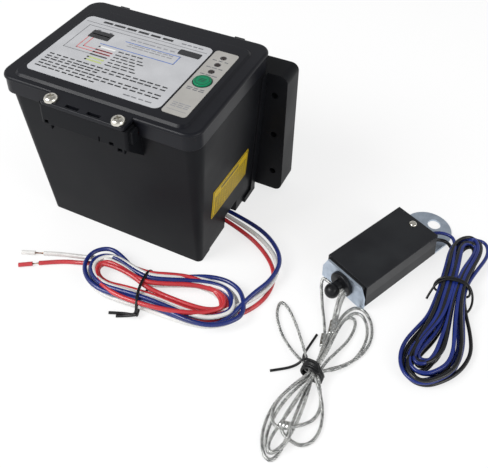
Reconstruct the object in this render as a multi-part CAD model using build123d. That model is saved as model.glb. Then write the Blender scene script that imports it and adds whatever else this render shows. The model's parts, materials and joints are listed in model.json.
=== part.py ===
from build123d import *
import os
from math import cos, pi, radians, sin, tan

# Trailer breakaway kit: a lidded battery box with its charge tester and wire harness, and the
# pull-pin breakaway switch on its lanyard.
# Millimetres. Origin: centre of the box's footprint. +X right along the box's front, +Y to its
# mounting side, +Z up.

# ---------------------------------------------------------------- battery and its bay
BATTERY_X = 90.0
BATTERY_Y = 70.0
BATTERY_Z = 101.0
BATTERY_GAP = 0.6            # battery to the divider and to the locating ribs
LEFT_ROOM = 3.0              # battery to the left wall, at the floor
FRONT_ROOM = 10.0            # battery to the front wall, at the floor
REAR_ROOM = 10.0             # battery to the rear wall, taken up by the ribs
HEADROOM = 13.4              # top of the battery to the shoulder that the lid's skirt stops at
DIVIDER_WALL = 2.0
WIRING_BAY_X = 31.4          # free width beside the divider, at the floor
PAD_THICKNESS = 2.0
TERMINAL_HEIGHT = 6.0
TERMINAL_EDGE = 13.0         # terminal centre to the battery's end and rear faces

# ---------------------------------------------------------------- case
WALL = 2.5
SEAM = 0.02                  # case wall to the flange and the block that stand on it
FLOOR_UNDERSIDE = 3.0
FLOOR_TOP = FLOOR_UNDERSIDE + WALL
SIDE_DRAFT = 0.082           # outward run per unit height, left and right
FRONT_DRAFT = 0.1066
BASE_CORNER = 4.0
TOP_CORNER = 10.0
FOOT_HEIGHT = 4.0
FOOT_LENGTH = 14.0
FEET_STEP = 1.6              # the side and rear rims stand this far off the ground between the feet
CENTRE_FOOT_X = 34.0         # pad under the battery, level with the feet
CENTRE_FOOT_Y = 26.0

BATTERY_BASE = FLOOR_TOP + PAD_THICKNESS
BATTERY_TOP = BATTERY_BASE + BATTERY_Z
SHOULDER_Z = BATTERY_TOP + HEADROOM
BASE_HALF_X = (LEFT_ROOM + BATTERY_X + BATTERY_GAP + DIVIDER_WALL + WIRING_BAY_X) / 2 + WALL
BASE_HALF_Y = (FRONT_ROOM + BATTERY_Y + REAR_ROOM) / 2 + WALL
TOP_HALF_X = BASE_HALF_X + SIDE_DRAFT * SHOULDER_Z
TOP_FRONT = BASE_HALF_Y + FRONT_DRAFT * SHOULDER_Z
BATTERY_X0 = -BASE_HALF_X + WALL + LEFT_ROOM
BATTERY_X1 = BATTERY_X0 + BATTERY_X
BATTERY_FRONT = -BASE_HALF_Y + WALL + FRONT_ROOM
BATTERY_REAR = BATTERY_FRONT + BATTERY_Y
DIVIDER_X0 = BATTERY_X1 + BATTERY_GAP
DIVIDER_X1 = DIVIDER_X0 + DIVIDER_WALL

# tongue that stands inside the lid's skirt
TONGUE_STEP = 2.6            # shoulder width outside the tongue
TONGUE_WALL = 2.2
TONGUE_HEIGHT = 9.4
SHOULDER_THICKNESS = 2.5
GASKET_THICKNESS = 1.6

# ---------------------------------------------------------------- lid
SKIRT_GAP = 0.5              # skirt to the shoulder
SKIRT_WALL = 2.2
SKIRT_PROUD = 0.8            # skirt beyond the case wall, left and right
FRONT_OVERHANG = 3.7         # skirt beyond the case wall, at the front
BEAD_PROUD = 0.85
BEAD_ROUND = 2.1             # upper edge of the lid
BEAD_UNDER = 0.4
FLANGE_ROUND = 1.0
REAR_OVERHANG = 1.2
LID_RISE = 14.3              # shoulder to the lid's band
LID_PLATE = 2.7
FIELD_RISE = 1.6             # raised field above the band
FIELD_CORNER = 7.0
LID_CORNER = 11.0
SEAL_GAP = 0.3               # gasket to the lid's underside
SKIRT_REAR_CUT = 9.5         # the skirt stops this far ahead of the rear wall
REAR_CHEEK_GAP = 1.6

BAND_Z = SHOULDER_Z + LID_RISE
PLATE_Z = BAND_Z - LID_PLATE
FIELD_Z = BAND_Z + FIELD_RISE
FIELD_UNDERSIDE = FIELD_Z - LID_PLATE + 0.1
SKIRT_Z = SHOULDER_Z + SKIRT_GAP
SKIRT_HALF_X = TOP_HALF_X + SKIRT_PROUD
SKIRT_FRONT = TOP_FRONT + FRONT_OVERHANG
LID_HALF_X = SKIRT_HALF_X + BEAD_PROUD
LID_FRONT = SKIRT_FRONT + BEAD_PROUD
LID_REAR = BASE_HALF_Y + REAR_OVERHANG
FIELD_HALF_X = LID_HALF_X - 11.0
FIELD_FRONT = LID_FRONT - 5.7
FIELD_REAR = LID_REAR - 13.9

# labels on the field
LABEL_THICKNESS = 0.25
LABEL_FRONT_MARGIN = 6.9     # field edge to the labels
LABEL_SPAN_Y = 76.6
LABEL_SIDE_MARGIN = 2.7
TESTER_LABEL_X = 18.2
LABEL_SPACING = 1.6
LABEL_CORNER = 5.0
LABEL_FRONT = FIELD_FRONT - LABEL_FRONT_MARGIN
LABEL_TOP = FIELD_Z + LABEL_THICKNESS
TESTER_X1 = FIELD_HALF_X - 3.7
TESTER_X0 = TESTER_X1 - TESTER_LABEL_X
TESTER_X = (TESTER_X0 + TESTER_X1) / 2
MAIN_X0 = -FIELD_HALF_X + LABEL_SIDE_MARGIN
MAIN_X1 = TESTER_X0 - LABEL_SPACING

# tester: three light windows and the test button
WINDOW_R = 2.0
WINDOW_PITCH = 8.95
BUTTON_R = 6.3
BUTTON_CLEARANCE = 0.1
BUTTON_TRAVEL = 1.0
BUTTON_PROUD = 1.3
BUTTON_FLANGE_R = 7.4
BUTTON_FLANGE = 1.3
BUTTON_TO_WINDOW = 12.6
BUTTON_Y = -LABEL_FRONT + 38.8
WINDOW_Y = [BUTTON_Y + BUTTON_TO_WINDOW + i * WINDOW_PITCH for i in range(3)]

# front screw flange and the block under it
FLANGE_HALF_X = 32.3
FLANGE_REACH = 11.1          # flange beyond the lid's bead
FLANGE_FRONT = LID_FRONT + FLANGE_REACH
SCREW_X = 26.0
SCREW_FROM_EDGE = 4.4
SCREW_Y = -(FLANGE_FRONT - SCREW_FROM_EDGE)
SLOT_X = 8.3
SLOT_LENGTH = 10.1
SLOT_WIDTH = 2.8
SLOT_Y = -(FLANGE_FRONT - 3.1)
BLOCK_HALF_X = 34.0
BLOCK_GAP = 0.6              # block to the flange above it
BLOCK_SET_BACK = 0.4         # block behind the flange's front edge
BLOCK_DROP = 15.0            # height of the block's upright front
BLOCK_CORNER = 2.0
CATCH_DROP = 4.0             # small catches hanging below the upright front
CATCH_DEPTH = 2.6
SKIRT_SLOT_GAP = 2.2         # block to the lid's skirt
SCREW_R = 2.1
SCREW_HEAD_R = 4.75
SCREW_HEAD = 3.1
SCREW_CLEARANCE = 0.3
SCREW_ENGAGED = 10.0
BLOCK_TOP = PLATE_Z - BLOCK_GAP
BLOCK_FRONT = FLANGE_FRONT - BLOCK_SET_BACK
BLOCK_REAR = LID_FRONT + SKIRT_SLOT_GAP - BEAD_PROUD

# hinge: its axis is level with the middle of the screws' engaged length, so that the captive
# screws leave their holes square when the lid lifts
HINGE_Z = BLOCK_TOP - SCREW_ENGAGED / 2
HINGE_Y = BASE_HALF_Y + 2.0
HINGE_X = 50.0
HINGE_PIN_R = 1.5
HINGE_RUNNING = 0.08
LUG_R = 3.6
LUG_X = 8.0
EAR_X = 4.0
EAR_GAP = 0.4

# ---------------------------------------------------------------- rear mounting flange
MOUNT_HALF_X_TOP = TOP_HALF_X + 17.5
MOUNT_HALF_X_BASE = MOUNT_HALF_X_TOP - 2.6
MOUNT_FACE_Y = BASE_HALF_Y + 13.5
MOUNT_FRONT_Y = MOUNT_FACE_Y - 21.0
MOUNT_Z0 = 7.0
MOUNT_TOP_GAP = 3.6          # flange below the shoulder
MOUNT_Z1 = SHOULDER_Z - MOUNT_TOP_GAP
MOUNT_WALL = 2.5
MOUNT_CORNER = 6.0
MOUNT_HOLE_R = 2.6
MOUNT_BOSS_R = 5.5
MOUNT_HOLE_X = MOUNT_HALF_X_BASE - 7.7
MOUNT_HOLE_PITCH = 37.0
MOUNT_HOLE_MID_Z = (MOUNT_Z0 + MOUNT_Z1) / 2
PILASTER_PROUD = 2.0
PILASTER_Y = 7.5

# ---------------------------------------------------------------- wires out of the right wall
WIRE_D = 3.2
WIRE_PITCH = 4.2
WIRE_EXIT_Z = 8.0
WIRE_EXIT_Y = -2.4
POCKET_DEPTH = 9.0
POCKET_Y0 = -10.2
POCKET_Y1 = 9.0
POCKET_TOP = 14.0
POCKET_WALL_X0 = BASE_HALF_X - POCKET_DEPTH - WALL
POCKET_WALL_X1 = POCKET_WALL_X0 + WALL
GROMMET_FLANGE = 1.5
GROMMET_LENGTH_Y = 13.2
GROMMET_Z = 5.6
INNER_WIRE_D = 2.4

# ---------------------------------------------------------------- charge tester
PCB_X = 30.6
PCB_Y = 78.0
PCB_THICKNESS = 1.6
PCB_REAR = 31.0
PCB_BELOW_BUTTON = 14.0      # board's top below the button's underside
CARRIER_THICKNESS = 2.0
CARRIER_GAP = 0.6
PEG_R = 2.6
PEG_HEIGHT = 4.0
PCB_HOLE_INSET = 2.6
STEM_GAP = 0.15              # switch stem to the pressed button
LED_R = 2.5
LED_GAP = 1.2                # light to the window above it

BUTTON_BASE_Z = FIELD_UNDERSIDE - 0.3 - BUTTON_FLANGE
PCB_Z1 = BUTTON_BASE_Z - PCB_BELOW_BUTTON
PCB_Z0 = PCB_Z1 - PCB_THICKNESS
CARRIER_Z1 = PCB_Z0 - PEG_HEIGHT
CARRIER_Z0 = CARRIER_Z1 - CARRIER_THICKNESS
PCB_FRONT = PCB_REAR - PCB_Y
PCB_HOLES = [(TESTER_X + sx * (PCB_X / 2 - PCB_HOLE_INSET), y)
             for sx in (-1, 1) for y in (PCB_FRONT + PCB_HOLE_INSET, PCB_REAR - PCB_HOLE_INSET)]
HEADER_Z = PCB_Z1 + 3.5
LEAD_PADS_Y = 26.0
LEAD_PADS_X = [TESTER_X - 6.6, TESTER_X - 1.6, TESTER_X + 3.4]

# ---------------------------------------------------------------- breakaway switch
SWITCH_AT = (184.7, 10.0)    # centre of the cover, on the ground
SWITCH_TURN = 65.0           # degrees from +X to the switch's axis, pin end to tab end
SWITCH_LENGTH = 74.0
SWITCH_WIDTH = 37.0
SWITCH_HEIGHT = 20.5
SHEET = 1.6
COVER_SHEET = 1.2
TAB_CENTRE = 51.0
TAB_HOLE_X = 59.5
TAB_HOLE_R = 4.9
END_PLATE_HEIGHT = 19.8
END_PLATE_TAPER = (4.0, 9.0)  # its upper corners lean in by this much over this height
END_PLATE_GAP = 2.0
END_PLATE_PROUD = 1.2
PIN_Z = 10.3
PIN_R = 4.9
PIN_RUNNING = 0.1
PIN_TRAVEL = 30.0
PIN_TIP_R = 0.15
PIN_GUIDE = 13.0             # straight length of the pin inside the body
PIN_HEAD_R = 9.2
PIN_HEAD = 3.0
PIN_NECK_R = 4.2
PIN_NECK = 7.5
PIN_KNOB_R = 5.2
CONTACT_R = 2.0
CONTACT_LENGTH = 5.0
CONTACT_RUNNING = 0.08
BODY_HALF_Y = 16.6
LANYARD_D = 2.4
LEAD_D = 2.6
COVER_HALF = SWITCH_LENGTH / 2
PLATE_X = -COVER_HALF - END_PLATE_GAP - SHEET
CONTACT_X = PLATE_X + SHEET + PIN_GUIDE
PIN_EYE_X = PLATE_X - PIN_HEAD - PIN_NECK / 2

SWITCH = Location((SWITCH_AT[0], SWITCH_AT[1], 0), (0, 0, SWITCH_TURN))

# ---------------------------------------------------------------- coils and ties
HANK_BASE = 0.3
HARNESS_HANK_TOP = 9.5
LEAD_HANK_TOP = 12.5
LANYARD_HANK_TOP = 6.5
TIE_D = 2.0


# ================================================================ helpers
def rounded_prism(half_x, front, rear, z0, z1, corner):
    """Upright block with rounded corners, from y = -front to y = rear."""
    centre_y = (rear - front) / 2
    outline = Pos(0, centre_y, z0) * RectangleRounded(2 * half_x, front + rear, corner)
    return extrude(outline, z1 - z0)


def box_between(low, high):
    size = [b - a for a, b in zip(low, high)]
    mid = [(a + b) / 2 for a, b in zip(low, high)]
    return Pos(*mid) * Box(*size)


def cylinder_z(x, y, z0, z1, radius):
    return Pos(x, y, (z0 + z1) / 2) * Cylinder(radius, z1 - z0)


def cylinder_x(x0, x1, y, z, radius):
    return Pos((x0 + x1) / 2, y, z) * Rot(0, 90, 0) * Cylinder(radius, x1 - x0)


def cylinder_y(y0, y1, x, z, radius):
    return Pos(x, (y0 + y1) / 2, z) * Rot(90, 0, 0) * Cylinder(radius, y1 - y0)


def prism(plane, outline, length):
    """Flat outline, as points or a sketch, pushed a length along the plane's normal."""
    sketch = Polygon(*outline, align=None) if isinstance(outline, list) else outline
    return extrude(plane * sketch, length, dir=plane.z_dir)


def turn_radii(points):
    """Arc radius at each inner point: as large as its two runs allow."""
    radii = []
    for before, here, after in zip(points, points[1:], points[2:]):
        a = Vector(*here) - Vector(*before)
        b = Vector(*after) - Vector(*here)
        half_turn = radians(a.get_angle(b)) / 2
        radii.append(0.45 * min(a.length, b.length) / tan(half_turn))
    return radii


def cord(name, points, diameter):
    """Round cord along straight runs joined by tangent arcs."""
    radii = turn_radii(points)
    path = FilletPolyline(*points, radius=radii)
    section = Plane(origin=path @ 0, z_dir=path % 0) * Circle(diameter / 2)
    tube = sweep(section, path=path)
    share = tube.volume / (pi * diameter ** 2 / 4 * path.length)
    print(f"{name}: length {path.length:.1f}, radii {[round(r, 1) for r in radii]}, volume {share:.4f}")
    return tube


def slab(outline, z0, z1):
    """Solid envelope of a flat coil: a smooth closed outline between two heights."""
    edge = Spline(*[(x, y) for x, y in outline], periodic=True)
    return extrude(Pos(0, 0, z0) * make_face(edge), z1 - z0)


def tie_loop(x, y, turn, width, z0, z1):
    """Flat ring of tie wire around a coil, crossing it at the given place and direction."""
    outer = Box(TIE_D, width + 2 * TIE_D, z1 - z0)
    inner = Box(TIE_D + 1, width, z1 - z0 - 2 * TIE_D)
    return Location((x, y, (z0 + z1) / 2), (0, 0, turn)) * (outer - inner)


def save(name, shape):
    solids = shape if isinstance(shape, list) else [shape]
    compound = Compound(children=[s for part in solids for s in part.solids()])
    compound.label = name
    export_step(compound, f"parts/{name}.step")


# ================================================================ case
def tapered(inset, z0, z1):
    """The case's drafted body between two heights, inset by a wall."""
    sections = []
    for z in (z0, z1):
        half_x = BASE_HALF_X + SIDE_DRAFT * z - inset
        front = BASE_HALF_Y + FRONT_DRAFT * z - inset
        rear = BASE_HALF_Y - inset
        corner = BASE_CORNER + (TOP_CORNER - BASE_CORNER) * z / SHOULDER_Z - inset
        outline = RectangleRounded(2 * half_x, front + rear, max(corner, 1.0))
        sections.append(Pos(0, (rear - front) / 2, z) * outline)
    return loft(sections, ruled=True)


def mount_tray():
    """Hollow flange behind the case, open at the back, with a boss at each of its six holes."""
    def plate(inset, y0, y1):
        low, high = MOUNT_Z0 + inset, MOUNT_Z1 - inset
        base, top = MOUNT_HALF_X_BASE - inset, MOUNT_HALF_X_TOP - inset
        outline = Polygon((-base, low), (base, low), (top, high), (-top, high), align=None)
        rounded = fillet(outline.vertices(), MOUNT_CORNER - inset)
        return prism(Plane.XZ.offset(-y1), rounded, y1 - y0)
    tray = plate(0, MOUNT_FRONT_Y, MOUNT_FACE_Y)
    tray -= plate(MOUNT_WALL, MOUNT_FRONT_Y + MOUNT_WALL, MOUNT_FACE_Y)
    for x, z in mount_holes():
        tray += cylinder_y(MOUNT_FRONT_Y, MOUNT_FACE_Y, x, z, MOUNT_BOSS_R)
        tray -= cylinder_y(MOUNT_FRONT_Y, MOUNT_FACE_Y, x, z, MOUNT_HOLE_R)
    return tray


def mount_holes():
    return [(sx * MOUNT_HOLE_X, MOUNT_HOLE_MID_Z + i * MOUNT_HOLE_PITCH)
            for sx in (-1, 1) for i in (-1, 0, 1)]


def screw_block():
    """Boss block under the lid's flange, on the front wall: upright front and 45 degree underside."""
    low = BLOCK_TOP - BLOCK_DROP
    wall_y = -(BASE_HALF_Y + FRONT_DRAFT * low) + 1.0
    run = BLOCK_FRONT + wall_y
    outline = [(-BLOCK_FRONT, BLOCK_TOP), (-BLOCK_REAR, BLOCK_TOP), (-BLOCK_REAR, SHOULDER_Z - 1),
               (wall_y, SHOULDER_Z - 1), (wall_y, low - run), (-BLOCK_FRONT, low)]
    block = prism(Plane.YZ.offset(-BLOCK_HALF_X), outline, 2 * BLOCK_HALF_X)
    block = fillet(block.edges().filter_by(Axis.Z).sort_by(Axis.Y)[:2], BLOCK_CORNER)
    for side in (-1, 1):
        rib_x = side * (BLOCK_HALF_X + 1.2)
        block += box_between((rib_x - 1.2, -BLOCK_FRONT + 3, BLOCK_TOP - 11),
                             (rib_x + 1.2, -BLOCK_REAR, BLOCK_TOP - 1.5))
        block -= cylinder_z(side * SCREW_X, SCREW_Y, BLOCK_TOP - SCREW_ENGAGED - 1.5, BLOCK_TOP,
                            SCREW_R + SCREW_CLEARANCE)
        block -= box_between((side * SLOT_X - SLOT_LENGTH / 2 - 0.6, SLOT_Y - 1.7, BLOCK_TOP - 11),
                             (side * SLOT_X + SLOT_LENGTH / 2 + 0.6, SLOT_Y + 4.4, BLOCK_TOP))
    for x0, x1 in ((-27.6, -26.2), (24.6, 26.0), (29.6, 31.0)):
        block += box_between((x0, -BLOCK_FRONT + 0.2, low - CATCH_DROP),
                             (x1, -BLOCK_FRONT + CATCH_DEPTH, low + 0.5))
    block += box_between((24.6, -BLOCK_FRONT + 0.2, low - CATCH_DROP),
                         (31.0, -BLOCK_FRONT + CATCH_DEPTH, low - CATCH_DROP + 1.2))
    for x0, x1, z0, z1 in ((-31, -28, 0.2, 3.0), (20, 23.4, 0.2, 3.0), (11.9, 12.9, -4.0, 4.2)):
        block -= box_between((x0, -BLOCK_FRONT, low + z0), (x1, -BLOCK_FRONT + 3.0, low + z1))
    return block - tapered(-SEAM, 0, SHOULDER_Z)


def mounting_flange():
    """The tray with the case's own body cut out of it."""
    return mount_tray() - tapered(-SEAM, 0, SHOULDER_Z)


def bay_divider():
    """Partition between the battery and the wiring bay, fitted to the case's inner walls."""
    wall = box_between((DIVIDER_X0, -TOP_FRONT, FLOOR_TOP), (DIVIDER_X1, BASE_HALF_Y - WALL, CARRIER_Z0))
    return wall & tapered(WALL, FLOOR_TOP, SHOULDER_Z)


def hinge_ears():
    ears = None
    for side in (-1, 1):
        for offset in (-1, 1):
            x = side * HINGE_X + offset * (LUG_X / 2 + EAR_GAP + EAR_X / 2)
            x0, x1 = x - EAR_X / 2, x + EAR_X / 2
            ear = cylinder_x(x0, x1, HINGE_Y, HINGE_Z, LUG_R + 0.2)
            ear += box_between((x0, BASE_HALF_Y - 2.0, HINGE_Z - 9), (x1, HINGE_Y, HINGE_Z))
            ears = ear if ears is None else ears + ear
    return ears


def case_shell():
    case = tapered(0, 0, SHOULDER_Z)
    for side in (-1, 1):
        x = side * (BASE_HALF_X + PILASTER_PROUD)
        pilaster = [(0, FOOT_HEIGHT), (x, FOOT_HEIGHT),
                    (x + side * SIDE_DRAFT * (MOUNT_Z1 - FOOT_HEIGHT), MOUNT_Z1), (0, MOUNT_Z1)]
        case += prism(Plane.XZ.offset(-MOUNT_FRONT_Y), pilaster, PILASTER_Y)
        case += box_between((min(0, x), MOUNT_FRONT_Y - 18, 0), (max(0, x), MOUNT_FRONT_Y, FOOT_HEIGHT + 1))
    cavity = tapered(WALL, FLOOR_TOP, SHOULDER_Z - SHOULDER_THICKNESS)
    ledge = box_between((BASE_HALF_X + SIDE_DRAFT * CARRIER_Z0 - WALL - 4, PCB_FRONT, CARRIER_Z0 - 5),
                        (TOP_HALF_X, PCB_REAR - 4, CARRIER_Z0))
    ribs = [box_between((x - 1, BATTERY_REAR + BATTERY_GAP, FLOOR_UNDERSIDE),
                        (x + 1, BASE_HALF_Y - 1, BATTERY_TOP - 12))
            for x in (BATTERY_X0 + 12, (BATTERY_X0 + BATTERY_X1) / 2, BATTERY_X1 - 12)]
    cavity -= ledge
    for rib in ribs:
        cavity -= rib
    case -= cavity
    tongue_x, tongue_front = TOP_HALF_X - TONGUE_STEP, TOP_FRONT - TONGUE_STEP
    tongue_rear = BASE_HALF_Y - TONGUE_STEP
    tongue_z = SHOULDER_Z + TONGUE_HEIGHT
    case += rounded_prism(tongue_x, tongue_front, tongue_rear, SHOULDER_Z, tongue_z,
                          TOP_CORNER - TONGUE_STEP)
    case -= rounded_prism(tongue_x - TONGUE_WALL, tongue_front - TONGUE_WALL, tongue_rear - TONGUE_WALL,
                          SHOULDER_Z - SHOULDER_THICKNESS, tongue_z, TOP_CORNER - TONGUE_STEP - TONGUE_WALL)
    case += hinge_ears()
    for side in (-1, 1):
        for offset in (-1, 1):
            x = side * HINGE_X + offset * (LUG_X / 2 + EAR_GAP + EAR_X / 2)
            case -= cylinder_x(x - EAR_X / 2 - 0.1, x + EAR_X / 2 + 0.1, HINGE_Y, HINGE_Z,
                               HINGE_PIN_R + 0.02)
    case += rear_cheeks()
    centre_foot = box_between((-CENTRE_FOOT_X / 2, -CENTRE_FOOT_Y / 2, 0),
                              (CENTRE_FOOT_X / 2, CENTRE_FOOT_Y / 2, FLOOR_UNDERSIDE))
    return case - underside() - wire_outlet() + centre_foot


def rear_cheeks():
    """Raised ends of the shoulder that carry the skirt's line round the rear corners."""
    y0 = BASE_HALF_Y - SKIRT_REAR_CUT + REAR_CHEEK_GAP
    block = rounded_prism(SKIRT_HALF_X - 0.2, TOP_FRONT, BASE_HALF_Y, SHOULDER_Z - 2,
                          PLATE_Z - 0.7, TOP_CORNER)
    inside = rounded_prism(TOP_HALF_X - TONGUE_STEP, TOP_FRONT, BASE_HALF_Y - TONGUE_STEP,
                           SHOULDER_Z - 3, PLATE_Z, TOP_CORNER - TONGUE_STEP)
    window = box_between((-LID_HALF_X, y0, SHOULDER_Z), (LID_HALF_X, BASE_HALF_Y - 1.2, PLATE_Z))
    cheeks = (block - inside) & window
    middle = box_between((-TOP_HALF_X + 9, y0 - 1, SHOULDER_Z - 1),
                         (TOP_HALF_X - 9, BASE_HALF_Y + 1, PLATE_Z))
    return cheeks - middle


def underside():
    """Hollow below the floor, and the step in the rim between the feet."""
    hollow = tapered(WALL + 0.5, 0, FLOOR_UNDERSIDE)
    keep = box_between((POCKET_WALL_X0, POCKET_Y0 - WALL, 0),
                       (BASE_HALF_X, POCKET_Y1 + WALL, FLOOR_UNDERSIDE))
    front_run = -BASE_HALF_Y + FOOT_LENGTH
    rear_run = MOUNT_FRONT_Y - 18
    across = BASE_HALF_X - FOOT_LENGTH
    step = box_between((-BASE_HALF_X - 4, front_run, 0), (BASE_HALF_X + 4, rear_run, FEET_STEP))
    step += box_between((-across, 0, 0), (across, BASE_HALF_Y + 4, FEET_STEP))
    return (hollow - keep) + step


def wire_outlet():
    """Open pocket under the right wall, and the grommet's hole in its inner wall."""
    pocket = box_between((POCKET_WALL_X1, POCKET_Y0, 0),
                         (BASE_HALF_X + 8, POCKET_Y1, POCKET_TOP))
    hole = Pos(WIRE_EXIT_Y, WIRE_EXIT_Z) * SlotOverall(GROMMET_LENGTH_Y, GROMMET_Z)
    return pocket + prism(Plane.YZ.offset(POCKET_WALL_X0 - 1), hole, WALL + 2)


def wire_pocket():
    """Walls and roof that close the pocket off from the wiring bay; they stand on the floor."""
    block = box_between((POCKET_WALL_X0, POCKET_Y0 - WALL, FLOOR_TOP),
                        (TOP_HALF_X, POCKET_Y1 + WALL, POCKET_TOP + WALL))
    return (block & tapered(WALL, FLOOR_TOP, SHOULDER_Z)) - wire_outlet()


def grommet():
    def stadium(length, height, x0, x1):
        outline = Pos(WIRE_EXIT_Y, WIRE_EXIT_Z) * SlotOverall(length, height)
        return prism(Plane.YZ.offset(x0), outline, x1 - x0)
    neck = stadium(GROMMET_LENGTH_Y - 0.1, GROMMET_Z - 0.1, POCKET_WALL_X0, POCKET_WALL_X1)
    outer = stadium(GROMMET_LENGTH_Y + 2, GROMMET_Z + 2, POCKET_WALL_X1, POCKET_WALL_X1 + GROMMET_FLANGE)
    inner = stadium(GROMMET_LENGTH_Y + 2, GROMMET_Z + 2, POCKET_WALL_X0 - GROMMET_FLANGE, POCKET_WALL_X0)
    floor = box_between((POCKET_WALL_X0 - 9, POCKET_Y0 - 9, 0),
                        (POCKET_WALL_X0, POCKET_Y1 + 9, FLOOR_TOP + 0.05))
    return neck + outer + (inner - floor)


def gasket():
    top_x, top_front = TOP_HALF_X - TONGUE_STEP, TOP_FRONT - TONGUE_STEP
    rear = BASE_HALF_Y - TONGUE_STEP
    z0 = SHOULDER_Z + TONGUE_HEIGHT
    z1 = min(z0 + GASKET_THICKNESS, PLATE_Z - SEAL_GAP)
    corner = TOP_CORNER - TONGUE_STEP
    ring = rounded_prism(top_x - 0.2, top_front - 0.2, rear - 0.2, z0, z1, corner - 0.2)
    return ring - rounded_prism(top_x - TONGUE_WALL + 0.2, top_front - TONGUE_WALL + 0.2,
                                rear - TONGUE_WALL + 0.2, z0, z1, corner - TONGUE_WALL + 0.2)


def hinge_pins():
    half = LUG_X / 2 + EAR_GAP + EAR_X
    return [cylinder_x(side * HINGE_X - half, side * HINGE_X + half, HINGE_Y, HINGE_Z, HINGE_PIN_R)
            for side in (-1, 1)]


def side_label():
    """Label on the right wall, lying in the wall's own slope."""
    width, height, turn = 56.0, 26.0, -2.9
    z = 46.5
    x = BASE_HALF_X + SIDE_DRAFT * z
    wall = Plane(origin=(x, -6.5, z), x_dir=(0, 1, 0), z_dir=(1, 0, -SIDE_DRAFT))
    return prism(wall, Rot(0, 0, turn) * RectangleRounded(width, height, 0.8), LABEL_THICKNESS)


# ================================================================ lid
def lid_shell():
    lid = rounded_prism(SKIRT_HALF_X, SKIRT_FRONT, LID_REAR - BEAD_PROUD, SKIRT_Z, PLATE_Z,
                        LID_CORNER - BEAD_PROUD)
    lid -= rounded_prism(SKIRT_HALF_X - SKIRT_WALL, SKIRT_FRONT - SKIRT_WALL, LID_REAR - SKIRT_WALL,
                         SKIRT_Z, PLATE_Z, LID_CORNER - BEAD_PROUD - SKIRT_WALL)
    lid -= box_between((-LID_HALF_X, BASE_HALF_Y - SKIRT_REAR_CUT, SKIRT_Z),
                       (LID_HALF_X, LID_REAR + 1, PLATE_Z))
    plate = rounded_prism(LID_HALF_X, LID_FRONT, LID_REAR, PLATE_Z, BAND_Z, LID_CORNER)
    plate = fillet(plate.edges().group_by(Axis.Z)[-1], BEAD_ROUND)
    plate = fillet(plate.edges().group_by(Axis.Z)[0], BEAD_UNDER)
    field = Pos(0, (FIELD_REAR - FIELD_FRONT) / 2, BAND_Z - 0.01) * RectangleRounded(
        2 * (FIELD_HALF_X + FIELD_RISE), FIELD_FRONT + FIELD_REAR + 2 * FIELD_RISE, FIELD_CORNER)
    lid += plate + extrude(field, FIELD_RISE + 0.01, taper=45)
    lid += screw_flange()
    lid -= rounded_prism(FIELD_HALF_X - 2.4, FIELD_FRONT - 2.4, FIELD_REAR - 2.4, PLATE_Z - 1,
                         FIELD_UNDERSIDE, FIELD_CORNER - 2.4)
    for y in WINDOW_Y:
        lid -= cylinder_z(TESTER_X, y, PLATE_Z, LABEL_TOP, WINDOW_R + 0.05)
    lid -= cylinder_z(TESTER_X, BUTTON_Y, PLATE_Z, LABEL_TOP, BUTTON_R + BUTTON_CLEARANCE)
    return lid + hinge_lugs()


def screw_flange():
    outline = Pos(0, -(FLANGE_FRONT + LID_FRONT - 3) / 2, PLATE_Z) * RectangleRounded(
        2 * FLANGE_HALF_X, FLANGE_FRONT - LID_FRONT + 3, 2.0)
    flange = extrude(outline, LID_PLATE)
    flange = fillet(flange.edges().group_by(Axis.Z)[-1], FLANGE_ROUND)
    for side in (-1, 1):
        flange -= cylinder_z(side * SCREW_X, SCREW_Y, PLATE_Z, BAND_Z, SCREW_R + 0.1)
        slot = (side * SLOT_X - SLOT_LENGTH / 2, SLOT_Y - SLOT_WIDTH / 2, PLATE_Z - 1)
        flange -= box_between(slot, (slot[0] + SLOT_LENGTH, slot[1] + SLOT_WIDTH, BAND_Z))
        flange += box_between((slot[0], slot[1] + SLOT_WIDTH, PLATE_Z - 9),
                              (slot[0] + SLOT_LENGTH, slot[1] + SLOT_WIDTH + 1.8, PLATE_Z))
    return flange


def hinge_lugs():
    lugs = None
    for side in (-1, 1):
        x0, x1 = side * HINGE_X - LUG_X / 2, side * HINGE_X + LUG_X / 2
        lug = cylinder_x(x0, x1, HINGE_Y, HINGE_Z, LUG_R)
        lug += box_between((x0, HINGE_Y - LUG_R, HINGE_Z), (x1, HINGE_Y + 1.0, PLATE_Z + 1.4))
        lug -= cylinder_x(x0, x1, HINGE_Y, HINGE_Z, HINGE_PIN_R + HINGE_RUNNING)
        lugs = lug if lugs is None else lugs + lug
    return lugs


def lid_screws():
    screws = []
    for side in (-1, 1):
        x = side * SCREW_X
        head = cylinder_z(x, SCREW_Y, BAND_Z, BAND_Z + SCREW_HEAD, SCREW_HEAD_R)
        head = fillet(head.edges().sort_by(Axis.Z)[-1], 2.6)
        for turn in (45, 135):
            head -= Location((x, SCREW_Y, BAND_Z + SCREW_HEAD), (0, 0, turn)) * Box(4.6, 1.1, 3.2)
        shank_z = BLOCK_TOP - SCREW_ENGAGED
        shank = cylinder_z(x, SCREW_Y, shank_z + 2, BAND_Z, SCREW_R)
        tip = Pos(x, SCREW_Y, shank_z + 1) * Cone(0.6, SCREW_R, 2)
        screws.append(head + shank + tip)
    return screws


def label_plate(x0, x1, corner):
    length = LABEL_SPAN_Y
    outline = Pos((x0 + x1) / 2, -LABEL_FRONT + length / 2, FIELD_Z) * RectangleRounded(
        x1 - x0, length, corner)
    return extrude(outline, LABEL_THICKNESS)


def tester_label():
    plate = label_plate(TESTER_X0, TESTER_X1, 2.5)
    for y in WINDOW_Y:
        plate -= cylinder_z(TESTER_X, y, FIELD_Z, LABEL_TOP, WINDOW_R + 0.15)
    return plate - cylinder_z(TESTER_X, BUTTON_Y, FIELD_Z, LABEL_TOP, BUTTON_R + BUTTON_CLEARANCE + 0.1)


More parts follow.
